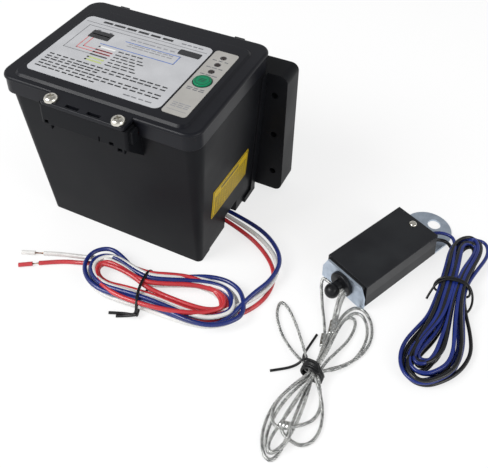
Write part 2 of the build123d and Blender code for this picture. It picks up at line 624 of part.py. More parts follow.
def led_lenses():
    lenses = []
    for y in WINDOW_Y:
        lens = cylinder_z(TESTER_X, y, FIELD_UNDERSIDE - 1.0, LABEL_TOP + 0.3, WINDOW_R)
        lens = fillet(lens.edges().sort_by(Axis.Z)[-1], 0.5)
        lenses.append(lens + cylinder_z(TESTER_X, y, FIELD_UNDERSIDE - 1.0, FIELD_UNDERSIDE, WINDOW_R + 0.9))
    return lenses


def test_button():
    flange = cylinder_z(TESTER_X, BUTTON_Y, BUTTON_BASE_Z, BUTTON_BASE_Z + BUTTON_FLANGE, BUTTON_FLANGE_R)
    cap = cylinder_z(TESTER_X, BUTTON_Y, BUTTON_BASE_Z, LABEL_TOP + BUTTON_PROUD, BUTTON_R)
    return flange + fillet(cap.edges().sort_by(Axis.Z)[-1], 0.7)


# ================================================================ inside the case
def battery():
    block = box_between((BATTERY_X0, BATTERY_FRONT, BATTERY_BASE), (BATTERY_X1, BATTERY_REAR, BATTERY_TOP))
    return fillet(block.edges().filter_by(Axis.Z), 1.5)


def terminal_places():
    y = BATTERY_REAR - TERMINAL_EDGE
    return [(BATTERY_X0 + TERMINAL_EDGE, y), (BATTERY_X1 - TERMINAL_EDGE, y)]


def battery_terminals():
    return [box_between((x - 0.4, y - 3.15, BATTERY_TOP), (x + 0.4, y + 3.15, BATTERY_TOP + TERMINAL_HEIGHT))
            for x, y in terminal_places()]


def spade_connectors():
    boots = []
    for (x, y), blade in zip(terminal_places(), battery_terminals()):
        boot = box_between((x - 4, y - 3.8, BATTERY_TOP + 0.6), (x + 6, y + 3.8, BATTERY_TOP + 6.8))
        boots.append(fillet(boot.edges().filter_by(Axis.X), 1.0) - blade)
    return boots


def battery_pad():
    return box_between((BATTERY_X0, BATTERY_FRONT, FLOOR_TOP), (BATTERY_X1, BATTERY_REAR, BATTERY_BASE))


def battery_foam():
    """Foam block between the battery and the front wall."""
    depth = FRONT_ROOM - 0.6
    return box_between((BATTERY_X0 + 12, BATTERY_FRONT - 0.3 - depth, FLOOR_TOP + 14),
                       (BATTERY_X1 - 12, BATTERY_FRONT - 0.3, FLOOR_TOP + 54))


def pcb_carrier():
    wall_x = BASE_HALF_X + SIDE_DRAFT * CARRIER_Z0 - WALL
    tray = box_between((DIVIDER_X0, PCB_FRONT - 2, CARRIER_Z0),
                       (wall_x - CARRIER_GAP, PCB_REAR + 1, CARRIER_Z1))
    for x, y in PCB_HOLES:
        tray += cylinder_z(x, y, CARRIER_Z1, PCB_Z0, PEG_R)
        tray -= cylinder_z(x, y, CARRIER_Z0, PCB_Z0, 1.0)
    return tray - box_between((LEAD_PADS_X[0] - 4, LEAD_PADS_Y - 4, CARRIER_Z0),
                              (LEAD_PADS_X[-1] + 4, LEAD_PADS_Y + 3, CARRIER_Z1))


def tester_pcb():
    board = box_between((TESTER_X - PCB_X / 2, PCB_FRONT, PCB_Z0), (TESTER_X + PCB_X / 2, PCB_REAR, PCB_Z1))
    for x, y in PCB_HOLES:
        board -= cylinder_z(x, y, PCB_Z0, PCB_Z1, 1.35)
    return board


def pcb_screws():
    return [cylinder_z(x, y, PCB_Z1, PCB_Z1 + 1.5, 2.3) + cylinder_z(x, y, PCB_Z0 - 3.5, PCB_Z1, 1.0)
            for x, y in PCB_HOLES]


def status_leds():
    leds = []
    top = FIELD_UNDERSIDE - 1.0 - LED_GAP
    for y in WINDOW_Y:
        lamp = cylinder_z(TESTER_X, y, top - 8.5, top, LED_R)
        lamp = fillet(lamp.edges().sort_by(Axis.Z)[-1], 2.2)
        for side in (-1, 1):
            leg = TESTER_X + side * 1.27
            lamp += box_between((leg - 0.3, y - 0.3, PCB_Z1), (leg + 0.3, y + 0.3, top - 8.4))
        leds.append(lamp)
    return leds


def tact_switch():
    body = box_between((TESTER_X - 3, BUTTON_Y - 3, PCB_Z1), (TESTER_X + 3, BUTTON_Y + 3, PCB_Z1 + 3.5))
    stem_top = BUTTON_BASE_Z - BUTTON_TRAVEL - STEM_GAP
    return body + cylinder_z(TESTER_X, BUTTON_Y, PCB_Z1 + 3.5, stem_top, 1.75)


def charge_capacitors():
    places = ((TESTER_X + 7.5, PCB_FRONT + 22, 5.0, 11.0), (TESTER_X - 8, PCB_FRONT + 24, 4.0, 9.0))
    cans = []
    for x, y, radius, height in places:
        can = cylinder_z(x, y, PCB_Z1, PCB_Z1 + height, radius)
        cans.append(fillet(can.edges().sort_by(Axis.Z)[-1], 0.8))
    return cans


def charge_regulator():
    x, y = TESTER_X - 6.5, PCB_FRONT + 9
    body = box_between((x - 5, y - 2.3, PCB_Z1 + 0.8), (x + 5, y + 2.3, PCB_Z1 + 10))
    for offset in (-2.54, 0, 2.54):
        body += box_between((x + offset - 0.4, y - 0.3, PCB_Z1), (x + offset + 0.4, y + 0.3, PCB_Z1 + 0.9))
    return body


def power_header():
    x0 = TESTER_X - PCB_X / 2
    return box_between((x0, -1.0, PCB_Z1), (x0 + 8.5, 11.5, HEADER_Z + 3.5))


def glass_fuse():
    x, y0 = TESTER_X + 8.5, PCB_FRONT + 34
    fuse = cylinder_y(y0, y0 + 20, x, PCB_Z1 + 3.6, 2.6)
    for y in (y0 + 1, y0 + 16):
        fuse += box_between((x - 3.2, y, PCB_Z1), (x + 3.2, y + 3, PCB_Z1 + 4))
    return fuse


def inner_leads():
    """Battery leads to the board's header, and harness leads up the wiring bay to the board."""
    (neg_x, neg_y), (pos_x, pos_y) = terminal_places()
    lead_z = BATTERY_TOP + 3.7
    header_x = TESTER_X - PCB_X / 2
    start = POCKET_WALL_X0 - GROMMET_FLANGE
    leads = {
        "battery_lead_red": [(pos_x + 6, pos_y, lead_z), (pos_x + 13, 19.5, BATTERY_TOP + 6.8),
                             (31.0, 12.4, BATTERY_TOP + 11.1), (header_x, 8.0, HEADER_Z)],
        "battery_lead_black": [(neg_x + 6, neg_y, lead_z), (-28, 20.5, BATTERY_TOP + 4.7),
                               (-13, 15.5, BATTERY_TOP + 7.0), (2, 9.5, BATTERY_TOP + 9.5),
                               (17, 5.0, BATTERY_TOP + 12.1), (28, 2.6, BATTERY_TOP + 13.9),
                               (header_x, 2.5, HEADER_Z)],
    }
    for i, colour in enumerate(("red", "white", "blue")):
        y = WIRE_EXIT_Y + (i - 1) * WIRE_PITCH
        pad = LEAD_PADS_X[i]
        leads[f"inner_lead_{colour}"] = [
            (start, y, WIRE_EXIT_Z), (start - 9.5, y, WIRE_EXIT_Z), (start - 16, y + 3.6, 16),
            (start - 15.5 + 2.5 * i, y + 11, 38), (pad - 5, LEAD_PADS_Y - 6, 74),
            (pad, LEAD_PADS_Y, 97), (pad, LEAD_PADS_Y, PCB_Z0)]
    return {name: cord(name, points, INNER_WIRE_D) for name, points in leads.items()}


# ================================================================ harness on the ground
HARNESS_ROUTES = {
    "harness_red": [(POCKET_WALL_X1 + GROMMET_FLANGE, -6.6, 8.0), (84, -11.2, 5.2), (105, -20, 1.8),
                    (120, -35, 1.8), (124.5, -54, 1.8), (117, -72, 1.8), (106, -84, 1.8)],
    "harness_white": [(POCKET_WALL_X1 + GROMMET_FLANGE, -2.4, 8.0), (84, -6.5, 6.6), (106, -15, 5.4),
                      (121.5, -30, 5.2), (123.2, -49, 5.2), (114.5, -67, 5.2), (104, -80, 5.2)],
    "harness_blue": [(POCKET_WALL_X1 + GROMMET_FLANGE, 1.8, 8.0), (84, -1.8, 8.0), (106, -10.5, 8.6),
                     (121.5, -26, 8.8), (120.5, -46, 8.8), (111.5, -63, 8.6), (101, -76, 7.6)],
}
HARNESS_OUTLINE = [(-7, -91), (3, -101), (17, -106.5), (33, -107.5), (47, -108), (62, -107), (77, -106),
                   (93, -101), (107, -91), (114.5, -78), (113, -66), (103, -59), (90, -58), (74, -62),
                   (60, -71), (46, -75), (30, -78), (14, -69), (3, -68), (-6, -79)]
HARNESS_TIE = (46.5, -91.5)
HARNESS_TIE_TURN = 8.0
HARNESS_TAILS = {
    "tail_red": [(-38.8, -100.8, 1.8), (-25, -92, 1.8), (-10, -86.5, 1.8), (4, -86, 1.8)],
    "tail_white": [(-41.5, -91.8, 1.8), (-30, -87.0, 1.8), (-17, -82.8, 1.8), (-3, -80, 1.8)],
}


def harness_hank():
    return slab(HARNESS_OUTLINE, HANK_BASE, HARNESS_HANK_TOP) - harness_tie()


def harness_tie():
    x, y = HARNESS_TIE
    return tie_loop(x, y, HARNESS_TIE_TURN, 30.5, HANK_BASE, HARNESS_HANK_TOP + 1)


def tail_ends():
    """Bare strands and the loose insulation slug beyond the end of each tail."""
    bare, slugs = [], []
    for points, gap in ((HARNESS_TAILS["tail_red"], 4.6), (HARNESS_TAILS["tail_white"], 9.6)):
        end, inner = Vector(*points[0]), Vector(*points[1])
        along = (end - inner).normalized()
        strand = Plane(origin=end, z_dir=along)
        bare.append(extrude(strand * Circle(1.0), gap))
        slug = Plane(origin=end + along * gap, z_dir=along)
        slugs.append(extrude(slug * Circle(WIRE_D / 2), 15.0))
    return bare, slugs


# ================================================================ switch (in its own axes)
def switch_bracket():
    half = SWITCH_WIDTH / 2
    base = box_between((PLATE_X, -half + 0.1, 0), (TAB_CENTRE, half - 0.1, SHEET))
    base += cylinder_z(TAB_CENTRE, 0, 0, SHEET, half - 0.1)
    base -= cylinder_z(TAB_HOLE_X, 0, -1, SHEET + 1, TAB_HOLE_R)
    wide = half + END_PLATE_PROUD
    narrow, shoulder = wide - END_PLATE_TAPER[0], END_PLATE_HEIGHT - END_PLATE_TAPER[1]
    outline = Polygon((-wide, 0), (wide, 0), (wide, shoulder), (narrow, END_PLATE_HEIGHT),
                      (-narrow, END_PLATE_HEIGHT), (-wide, shoulder), align=None)
    plate = prism(Plane.YZ.offset(PLATE_X), outline, SHEET)
    plate -= cylinder_x(PLATE_X - 1, PLATE_X + SHEET + 1, 0, PIN_Z, PIN_R + PIN_RUNNING + 0.15)
    return base + plate


def switch_cover():
    """Folded cover: flat top, upright sides with a shallow outward crease at half height."""
    half = SWITCH_WIDTH / 2
    crease = SWITCH_HEIGHT * 0.5
    flare = 0.7

    def section(inset):
        w, top = half - inset, SWITCH_HEIGHT - inset
        return [(-w - flare, SHEET + 0.1), (-w, crease), (-w, top), (w, top), (w, crease),
                (w + flare, SHEET + 0.1)]
    outer = prism(Plane.YZ.offset(-COVER_HALF), section(0), SWITCH_LENGTH)
    outer = fillet(outer.edges().filter_by(Axis.X).sort_by(Axis.Z)[-2:], 0.7)
    inner = prism(Plane.YZ.offset(-COVER_HALF), section(COVER_SHEET), SWITCH_LENGTH - COVER_SHEET)
    back = box_between((COVER_HALF - COVER_SHEET - 0.5, -13.5, SHEET), (COVER_HALF + 0.5, -2.5, 11.5))
    return outer - inner - back


def cover_rivet():
    x = 33.2 * COVER_HALF / 37.0
    head = Pos(x - 2, 0, SWITCH_HEIGHT) * Cylinder(2.8, 1.4, align=(Align.CENTER, Align.CENTER, Align.MIN))
    return fillet(head.edges().sort_by(Axis.Z)[-1], 1.1)


def switch_body():
    """Insulating block with the pin's blind bore and the two cross bores of the contacts."""
    x0, x1 = PLATE_X + SHEET + 0.2, COVER_HALF - COVER_SHEET - 6
    top = SWITCH_HEIGHT - COVER_SHEET - 0.3
    body = box_between((x0, -BODY_HALF_Y, SHEET + 0.2), (x1, BODY_HALF_Y, top))
    bore_end = CONTACT_X + PIN_TRAVEL + 2
    body -= cylinder_x(x0 - 1, bore_end, 0, PIN_Z, PIN_R + PIN_RUNNING)
    channel = cylinder_y(-BODY_HALF_Y + 0.6, BODY_HALF_Y - 0.6, CONTACT_X, PIN_Z,
                         CONTACT_R + CONTACT_RUNNING)
    return body - channel


def pull_pin():
    head = cylinder_x(PLATE_X - PIN_HEAD, PLATE_X - 0.3, 0, PIN_Z, PIN_HEAD_R)
    head = fillet(head.edges().group_by(Axis.X)[0], 1.0)
    neck = cylinder_x(PLATE_X - PIN_HEAD - PIN_NECK, PLATE_X - PIN_HEAD, 0, PIN_Z, PIN_NECK_R)
    knob = Pos(PLATE_X - PIN_HEAD - PIN_NECK, 0, PIN_Z) * Sphere(PIN_KNOB_R)
    guide = cylinder_x(PLATE_X - 0.3, CONTACT_X, 0, PIN_Z, PIN_R)
    nose = Pos(CONTACT_X + PIN_TRAVEL / 2, 0, PIN_Z) * Rot(0, 90, 0) * Cone(PIN_R, PIN_TIP_R, PIN_TRAVEL)
    eye = cylinder_y(-PIN_KNOB_R - 1, PIN_KNOB_R + 1, PIN_EYE_X, PIN_Z, LANYARD_D / 2 + 0.15)
    return head + neck + knob + guide + nose - eye


def contact(side):
    """Brass plunger that rests on the pin's cone; side is +1 or -1 along the switch's own Y."""
    near = PIN_R + 0.1
    body = cylinder_y(near + 1, near + CONTACT_LENGTH, CONTACT_X, PIN_Z, CONTACT_R)
    tip = Pos(CONTACT_X, near + 0.5, PIN_Z) * Rot(90, 0, 0) * Cone(CONTACT_R, 0.8, 1.0)
    plunger = body + tip
    return plunger if side > 0 else Rot(0, 0, 180) * Pos(-2 * CONTACT_X, 0, 0) * plunger


def contact_springs():
    start = PIN_R + 0.1 + CONTACT_LENGTH + 0.1
    springs = []
    for side in (-1, 1):
        y0, y1 = sorted((side * start, side * (BODY_HALF_Y - 0.7)))
        sleeve = cylinder_y(y0, y1, CONTACT_X, PIN_Z, CONTACT_R - 0.2)
        springs.append(sleeve - cylinder_y(y0, y1, CONTACT_X, PIN_Z, CONTACT_R - 0.8))
    return springs


def lead_boot():
    """Rubber block that holds the two leads where they leave the cover."""
    x0 = COVER_HALF - COVER_SHEET - 5.8
    boot = box_between((x0, -13.2, SHEET + 0.3), (COVER_HALF + 1.5, -2.8, 11.2))
    return fillet(boot.edges().filter_by(Axis.X), 1.5)


def on_ground(u, v, z):
    """Place in the switch's own axes as a point of the shared frame."""
    turn = radians(SWITCH_TURN)
    return (SWITCH_AT[0] + u * cos(turn) - v * sin(turn), SWITCH_AT[1] + u * sin(turn) + v * cos(turn), z)


# ================================================================ switch leads and lanyard
LEAD_ROUTES = {
    "lead_blue": [on_ground(COVER_HALF + 1.5, -5.4, 7), on_ground(COVER_HALF + 10, -7.5, 7.6),
                  (221.5, 52.3, 8.2), (231.0, 46.5, 8.0), (235.0, 36.0, 7.0)],
    "lead_black": [on_ground(COVER_HALF + 1.5, -10.4, 7), (218.0, 48.5, 4.9), (228.5, 46.5, 4.4),
                   (232.5, 37.5, 4.4), (233.5, 26.0, 4.4)],
}
LEAD_OUTLINE = [(225.2, 36), (226.0, 21), (226.2, 8), (226.6, -1), (226.2, -12), (225.5, -26), (221.4, -37.5),
                (217.8, -49), (217.3, -61), (221.8, -72), (231.4, -77), (240.8, -75), (248.4, -67.7),
                (255.2, -59.7), (258.6, -49), (259.0, -34), (256.8, -17), (250.6, -4.5), (248.0, 3),
                (248.0, 12), (251.0, 19), (255.4, 28), (256.2, 39), (252.4, 50), (249.6, 58), (241.3, 64.5),
                (232.4, 57.5), (226.4, 47)]
LEAD_TIE = (237.1, 5.0)
LANYARD_LEGS = {
    "lanyard_leg_left": [on_ground(PIN_EYE_X, 4.2, PIN_Z), (155.5, -35.6, 9.0), (155.2, -45.7, 5.0),
                         (160.5, -57.0, 1.8), (167.0, -68.0, 1.6)],
    "lanyard_leg_right": [on_ground(PIN_EYE_X, -4.2, PIN_Z), (168.7, -42.0, 9.0), (171.0, -51.5, 4.8),
                          (172.5, -62.0, 1.8), (172.3, -72.0, 1.6)],
}
LANYARD_OUTLINE = [(167, -66), (157, -60), (147, -53), (138, -50), (132, -54), (135, -63),
                   (145, -73), (157, -82), (167, -92), (162, -108), (157.5, -126),
                   (159.5, -146), (167.5, -160), (178, -156), (189, -141), (192, -124), (187, -107),
                   (181, -94), (190, -80), (200, -64), (200, -49), (191, -41), (180, -43),
                   (174, -55)]
LANYARD_TIE = (174.0, -93.5)


def lead_hank():
    return slab(LEAD_OUTLINE, HANK_BASE, LEAD_HANK_TOP) - lead_tie()


def lead_tie():
    x, y = LEAD_TIE
    return tie_loop(x, y, 92.0, 21.4, HANK_BASE, LEAD_HANK_TOP + 0.5)


def lanyard_hank():
    return slab(LANYARD_OUTLINE, HANK_BASE, LANYARD_HANK_TOP) - lanyard_tie()


def lanyard_tie():
    x, y = LANYARD_TIE
    return tie_loop(x, y, 88.0, 9.0, HANK_BASE, LANYARD_HANK_TOP + 0.5)


# ================================================================ write every piece
def main():
    os.makedirs("parts", exist_ok=True)
    bare, slugs = tail_ends()
    pieces = {
        "case_shell": case_shell(), "mounting_flange": mounting_flange(), "screw_block": screw_block(),
        "bay_divider": bay_divider(), "wire_pocket": wire_pocket(), "lid_gasket": gasket(),
        "hinge_pins": hinge_pins(),
        "wire_grommet": grommet(), "side_label": side_label(),
        "lid_shell": lid_shell(), "lid_screws": lid_screws(),
        "main_label": label_plate(MAIN_X0, MAIN_X1, LABEL_CORNER), "tester_label": tester_label(),
        "led_lenses": led_lenses(), "test_button": test_button(),
        "battery": battery(), "battery_terminals": battery_terminals(), "battery_pad": battery_pad(),
        "battery_foam": battery_foam(), "spade_connectors": spade_connectors(),
        "pcb_carrier": pcb_carrier(), "tester_pcb": tester_pcb(), "pcb_screws": pcb_screws(),
        "status_leds": status_leds(), "tact_switch": tact_switch(),
        "charge_capacitors": charge_capacitors(), "charge_regulator": charge_regulator(),
        "power_header": power_header(), "glass_fuse": glass_fuse(),
        "harness_hank": harness_hank(), "harness_tie": harness_tie(),
        "tail_strands": bare, "tail_slugs": slugs,
        "lead_hank": lead_hank(), "lead_tie": lead_tie(),
        "lanyard_hank": lanyard_hank(), "lanyard_tie": lanyard_tie(),
    }
    pieces.update(inner_leads())
    for routes, diameter in ((HARNESS_ROUTES, WIRE_D), (HARNESS_TAILS, WIRE_D), (LEAD_ROUTES, LEAD_D),
                             (LANYARD_LEGS, LANYARD_D)):
        pieces.update({name: cord(name, points, diameter) for name, points in routes.items()})
    switch_pieces = {
        "switch_bracket": switch_bracket(), "switch_cover": switch_cover(), "cover_rivet": cover_rivet(),
        "switch_body": switch_body(), "pull_pin": pull_pin(), "contact_left": contact(1),
        "contact_right": contact(-1), "contact_springs": contact_springs(), "lead_boot": lead_boot(),
    }
    for name, shape in switch_pieces.items():
        solids = shape if isinstance(shape, list) else [shape]
        pieces[name] = [SWITCH * s for s in solids]
    for name, shape in pieces.items():
        save(name, shape)
    print(len(pieces), "nodes")


main()
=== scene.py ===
"""Looks of a trailer breakaway kit: lidded battery box, wire harness, pull-pin switch, leads and lanyard.

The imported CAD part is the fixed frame. This script dresses its nodes, lays the real wires in place of
the CAD's coil envelopes, prints the labels, and sets up a plain studio. Lengths written in millimetres
are turned to metres by MM.
"""

import json
import logging
import math
from dataclasses import dataclass, field
from enum import Enum
from typing import Any, Iterable, Optional, Sequence

import bmesh
import bpy
from mathutils import Matrix, Vector

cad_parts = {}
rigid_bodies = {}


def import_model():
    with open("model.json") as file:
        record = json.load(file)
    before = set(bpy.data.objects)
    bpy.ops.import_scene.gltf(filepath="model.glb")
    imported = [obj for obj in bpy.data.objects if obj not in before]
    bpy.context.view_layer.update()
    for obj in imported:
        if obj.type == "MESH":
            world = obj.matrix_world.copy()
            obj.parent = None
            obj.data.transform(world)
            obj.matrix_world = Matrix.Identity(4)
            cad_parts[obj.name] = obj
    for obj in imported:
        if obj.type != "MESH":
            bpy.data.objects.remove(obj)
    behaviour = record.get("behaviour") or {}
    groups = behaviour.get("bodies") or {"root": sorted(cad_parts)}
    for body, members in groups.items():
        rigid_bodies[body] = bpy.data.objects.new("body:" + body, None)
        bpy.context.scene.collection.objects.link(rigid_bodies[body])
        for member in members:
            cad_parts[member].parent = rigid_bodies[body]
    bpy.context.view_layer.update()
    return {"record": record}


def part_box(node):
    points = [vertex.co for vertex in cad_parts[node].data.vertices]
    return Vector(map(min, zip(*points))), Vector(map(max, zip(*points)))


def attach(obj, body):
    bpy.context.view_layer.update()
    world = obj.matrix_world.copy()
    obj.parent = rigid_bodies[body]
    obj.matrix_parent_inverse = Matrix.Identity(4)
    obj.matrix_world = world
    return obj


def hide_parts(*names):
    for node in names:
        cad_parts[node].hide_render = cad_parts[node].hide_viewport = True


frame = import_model()

LOG = logging.getLogger("breakaway_kit")
MM = 0.001

Point = tuple[float, float, float]
Colour = tuple[float, float, float, float]
Material = bpy.types.Material
Mesh = bpy.types.Mesh
Node = bpy.types.Node
Piece = bpy.types.Object
Socket = bpy.types.NodeSocket
Tree = bpy.types.NodeTree


# ---------------------------------------------------------------------------------- small tools
def linear(hex_colour: str) -> Colour:
    """Turn an sRGB hex colour into linear RGBA.

    Args:
        hex_colour: A colour such as "#2b2c30".

    Returns:
        The colour as Blender's shaders take it.
    """
    digits = hex_colour.lstrip("#")
    channels = [int(digits[i : i + 2], 16) / 255 for i in (0, 2, 4)]
    r, g, b = [c / 12.92 if c <= 0.04045 else ((c + 0.055) / 1.055) ** 2.4 for c in channels]
    return (r, g, b, 1.0)


def add_node(tree: Tree, kind: str, inputs: Optional[dict] = None, **settings: Any) -> Node:
    """Add a node, set its properties, and fill or link its inputs.

    Args:
        tree: The node tree.
        kind: The node's type name.
        inputs: Input name or index to a constant or to the socket that feeds it.
        **settings: Properties of the node.

    Returns:
        The new node.
    """
    node = tree.nodes.new(kind)
    for key, value in settings.items():
        setattr(node, key, value)
    for key, value in (inputs or {}).items():
        socket = node.inputs[key]
        if isinstance(value, Socket):
            tree.links.new(value, socket)
        else:
            socket.default_value = value
    return node


def add_piece(name: str, mesh: Mesh, body: str) -> Piece:
    """Put a mesh in the scene as a piece that rides on a body.

    Args:
        name: The piece's name.
        mesh: Its mesh, in the shared frame.
        body: The CAD body it moves with.

    Returns:
        The object.
    """
    mesh.name = name
    piece = bpy.data.objects.new(name, mesh)
    bpy.context.scene.collection.objects.link(piece)
    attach(piece, body)
    LOG.info("piece %s on %s, %d faces", name, body, len(mesh.polygons))
    return piece


def metres(points: Iterable[Sequence[float]]) -> list[Vector]:
    """Turn millimetre points into metre vectors."""
    return [Vector(p) * MM for p in points]


# ---------------------------------------------------------------------------------- finishes
NOISE_LOW, NOISE_HIGH = 0.3, 0.7  # a noise field seldom leaves this range


class Grain(Enum):
    """How a surface's fine relief is drawn."""

    SPARK = "spark-eroded mould"
    SMOOTH = "polished mould"


@dataclass(frozen=True)
class Finish:
    """A named surface, made once and shared by every piece that has it."""

    name: str
    colour: str
    specular: float = 0.5

    def start(self) -> tuple[Material, Tree, Node]:
        """Make the empty material.

        Returns:
            The material, its tree and its Principled shader.
        """
        material = bpy.data.materials.new(self.name)
        material.use_nodes = True
        tree = material.node_tree
        shader = tree.nodes["Principled BSDF"]
        shader.inputs["Base Color"].default_value = linear(self.colour)
        shader.inputs["Specular IOR Level"].default_value = self.specular
        material.diffuse_color = linear(self.colour)
        return material, tree, shader

    def place(self, tree: Tree) -> Socket:
        """Object coordinates, in metres, that every pattern is drawn on."""
        return add_node(tree, "ShaderNodeTexCoord").outputs["Object"]

    def noise(self, tree: Tree, size_mm: float, detail: float = 3.0) -> Socket:
        """Add a noise field.

        Args:
            tree: The material's tree.
            size_mm: The width of one cell.
            detail: Octaves.

        Returns:
            The noise's value socket.
        """
        inputs = {"Vector": self.place(tree), "Scale": 1.0 / (size_mm * MM), "Detail": detail}
        return add_node(tree, "ShaderNodeTexNoise", inputs).outputs[0]

    def span(self, tree: Tree, value: Socket, low: float, high: float) -> Socket:
        """Stretch a noise value over a range.

        Args:
            tree: The material's tree.
            value: The noise.
            low: Result at the noise's usual low.
            high: Result at its usual high.

        Returns:
            The stretched value.
        """
        inputs = {"Value": value, "From Min": NOISE_LOW, "From Max": NOISE_HIGH, "To Min": low,
                  "To Max": high}
        return add_node(tree, "ShaderNodeMapRange", inputs).outputs["Result"]

    def tint(self, tree: Tree, value: Socket, low: str, high: str) -> Socket:
        """Blend two colours by a noise value.

        Args:
            tree: The material's tree.
            value: The noise.
            low: Colour at its low end.
            high: Colour at its high end.

        Returns:
            The colour socket.
        """
        inputs = {0: self.span(tree, value, 0.0, 1.0), 6: linear(low), 7: linear(high)}
        return add_node(tree, "ShaderNodeMix", inputs, data_type="RGBA").outputs[2]

    def relief(self, tree: Tree, height: Socket, depth_mm: float,
               under: Optional[Socket] = None) -> Socket:
        """Add a bump.

        Args:
            tree: The material's tree.
            height: The height field, 0 to 1.
            depth_mm: How deep it is.
            under: A normal to build on.

        Returns:
            The normal socket.
        """
        inputs = {"Height": height, "Distance": depth_mm * MM, "Strength": 1.0}
        if under is not None:
            inputs["Normal"] = under
        return add_node(tree, "ShaderNodeBump", inputs).outputs["Normal"]

    def build(self) -> Material:
        """Make the material."""
        raise NotImplementedError


@dataclass(frozen=True)
class MouldedPlastic(Finish):
    """Injection-moulded ABS or nylon: an eroded texture breaks its sheen, and handling dulls patches."""

    roughness: float = 0.42
    grain_mm: float = 0.9
    grain_depth_mm: float = 0.012
    patch_mm: float = 40.0
    lighter: str = "#37383c"
    soft_edge_mm: float = 0.0
    grain: Grain = Grain.SPARK

    def build(self) -> Material:
        """Make the material."""
        material, tree, shader = self.start()
        patches = self.noise(tree, self.patch_mm, 2.0)
        tree.links.new(self.tint(tree, patches, self.colour, self.lighter), shader.inputs["Base Color"])
        tree.links.new(self.span(tree, patches, self.roughness - 0.05, self.roughness + 0.07),
                       shader.inputs["Roughness"])
        shader.inputs["IOR"].default_value = 1.52
        edge = None
        if self.soft_edge_mm:
            edge = add_node(tree, "ShaderNodeBevel", {"Radius": self.soft_edge_mm * MM}, samples=4).outputs[0]
        if self.grain is Grain.SMOOTH:
            height = self.noise(tree, self.grain_mm * 12, 1.0)
        else:
            height = self.noise(tree, self.grain_mm, 2.0)
        tree.links.new(self.relief(tree, height, self.grain_depth_mm, edge), shader.inputs["Normal"])
        return material


@dataclass(frozen=True)
class ExtrudedPvc(Finish):
    """Extruded PVC insulation: glossy, a little uneven along its length."""

    roughness: float = 0.28
    darker: str = "#101010"

    def build(self) -> Material:
        """Make the material."""
        material, tree, shader = self.start()
        drift = self.noise(tree, 18.0, 2.0)
        tree.links.new(self.tint(tree, drift, self.darker, self.colour), shader.inputs["Base Color"])
        tree.links.new(self.span(tree, self.noise(tree, 5.0), self.roughness - 0.06, self.roughness + 0.1),
                       shader.inputs["Roughness"])
        shader.inputs["IOR"].default_value = 1.53
        shader.inputs["Coat Weight"].default_value = 0.15
        shader.inputs["Coat Roughness"].default_value = 0.12
        tree.links.new(self.relief(tree, self.noise(tree, 2.5, 1.0), 0.03), shader.inputs["Normal"])
        return material


@dataclass(frozen=True)
class PlatedMetal(Finish):
    """Nickel or zinc plate over steel: rolling marks show through, and the plate clouds a little."""

    roughness: float = 0.3
    cloud: str = "#8f969c"
    cloud_mm: float = 6.0
    stretch: Point = (1.0, 1.0, 1.0)
    bump_mm: float = 0.01

    def build(self) -> Material:
        """Make the material."""
        material, tree, shader = self.start()
        mapping = add_node(tree, "ShaderNodeMapping", {"Vector": self.place(tree), "Scale": self.stretch})
        inputs = {"Vector": mapping.outputs[0], "Scale": 1.0 / (self.cloud_mm * MM), "Detail": 4.0}
        clouds = add_node(tree, "ShaderNodeTexNoise", inputs).outputs[0]
        tree.links.new(self.tint(tree, clouds, self.cloud, self.colour), shader.inputs["Base Color"])
        tree.links.new(self.span(tree, clouds, self.roughness + 0.08, self.roughness - 0.05),
                       shader.inputs["Roughness"])
        shader.inputs["Metallic"].default_value = 1.0
        tree.links.new(self.relief(tree, clouds, self.bump_mm), shader.inputs["Normal"])
        return material


@dataclass(frozen=True)
class CoatedSteel(Finish):
    """Stoved black enamel on folded steel: satin, with a faint orange-peel skin."""

    roughness: float = 0.36

    def build(self) -> Material:
        """Make the material."""
        material, tree, shader = self.start()
        drift = self.noise(tree, 22.0, 2.0)
        tree.links.new(self.tint(tree, drift, self.colour, "#1e2023"), shader.inputs["Base Color"])
        tree.links.new(self.span(tree, drift, self.roughness - 0.05, self.roughness + 0.08),
                       shader.inputs["Roughness"])
        edge = add_node(tree, "ShaderNodeBevel", {"Radius": 0.6 * MM}, samples=4).outputs[0]
        tree.links.new(self.relief(tree, self.noise(tree, 1.4, 1.0), 0.015, edge), shader.inputs["Normal"])
        return material


@dataclass(frozen=True)
class PrintedFilm(Finish):
    """Polycarbonate overlay film: matt and even, with a slight mottle from the adhesive under it."""

    roughness: float = 0.5
    mottle: str = "#bfc0c3"

    def build(self) -> Material:
        """Make the material."""
        material, tree, shader = self.start()
        mottle = self.noise(tree, 14.0, 3.0)
        tree.links.new(self.tint(tree, mottle, self.mottle, self.colour), shader.inputs["Base Color"])
        shader.inputs["Roughness"].default_value = self.roughness
        tree.links.new(self.relief(tree, self.noise(tree, 3.0, 1.0), 0.01), shader.inputs["Normal"])
        return material


@dataclass(frozen=True)
class Ink(Finish):
    """Screen-printed ink: flat, a touch uneven where the mesh laid it down."""

    paler: str = "#55565a"
    roughness: float = 0.55

    def build(self) -> Material:
        """Make the material."""
        material, tree, shader = self.start()
        tree.links.new(self.tint(tree, self.noise(tree, 1.6, 2.0), self.colour, self.paler),
                       shader.inputs["Base Color"])
        shader.inputs["Roughness"].default_value = self.roughness
        return material


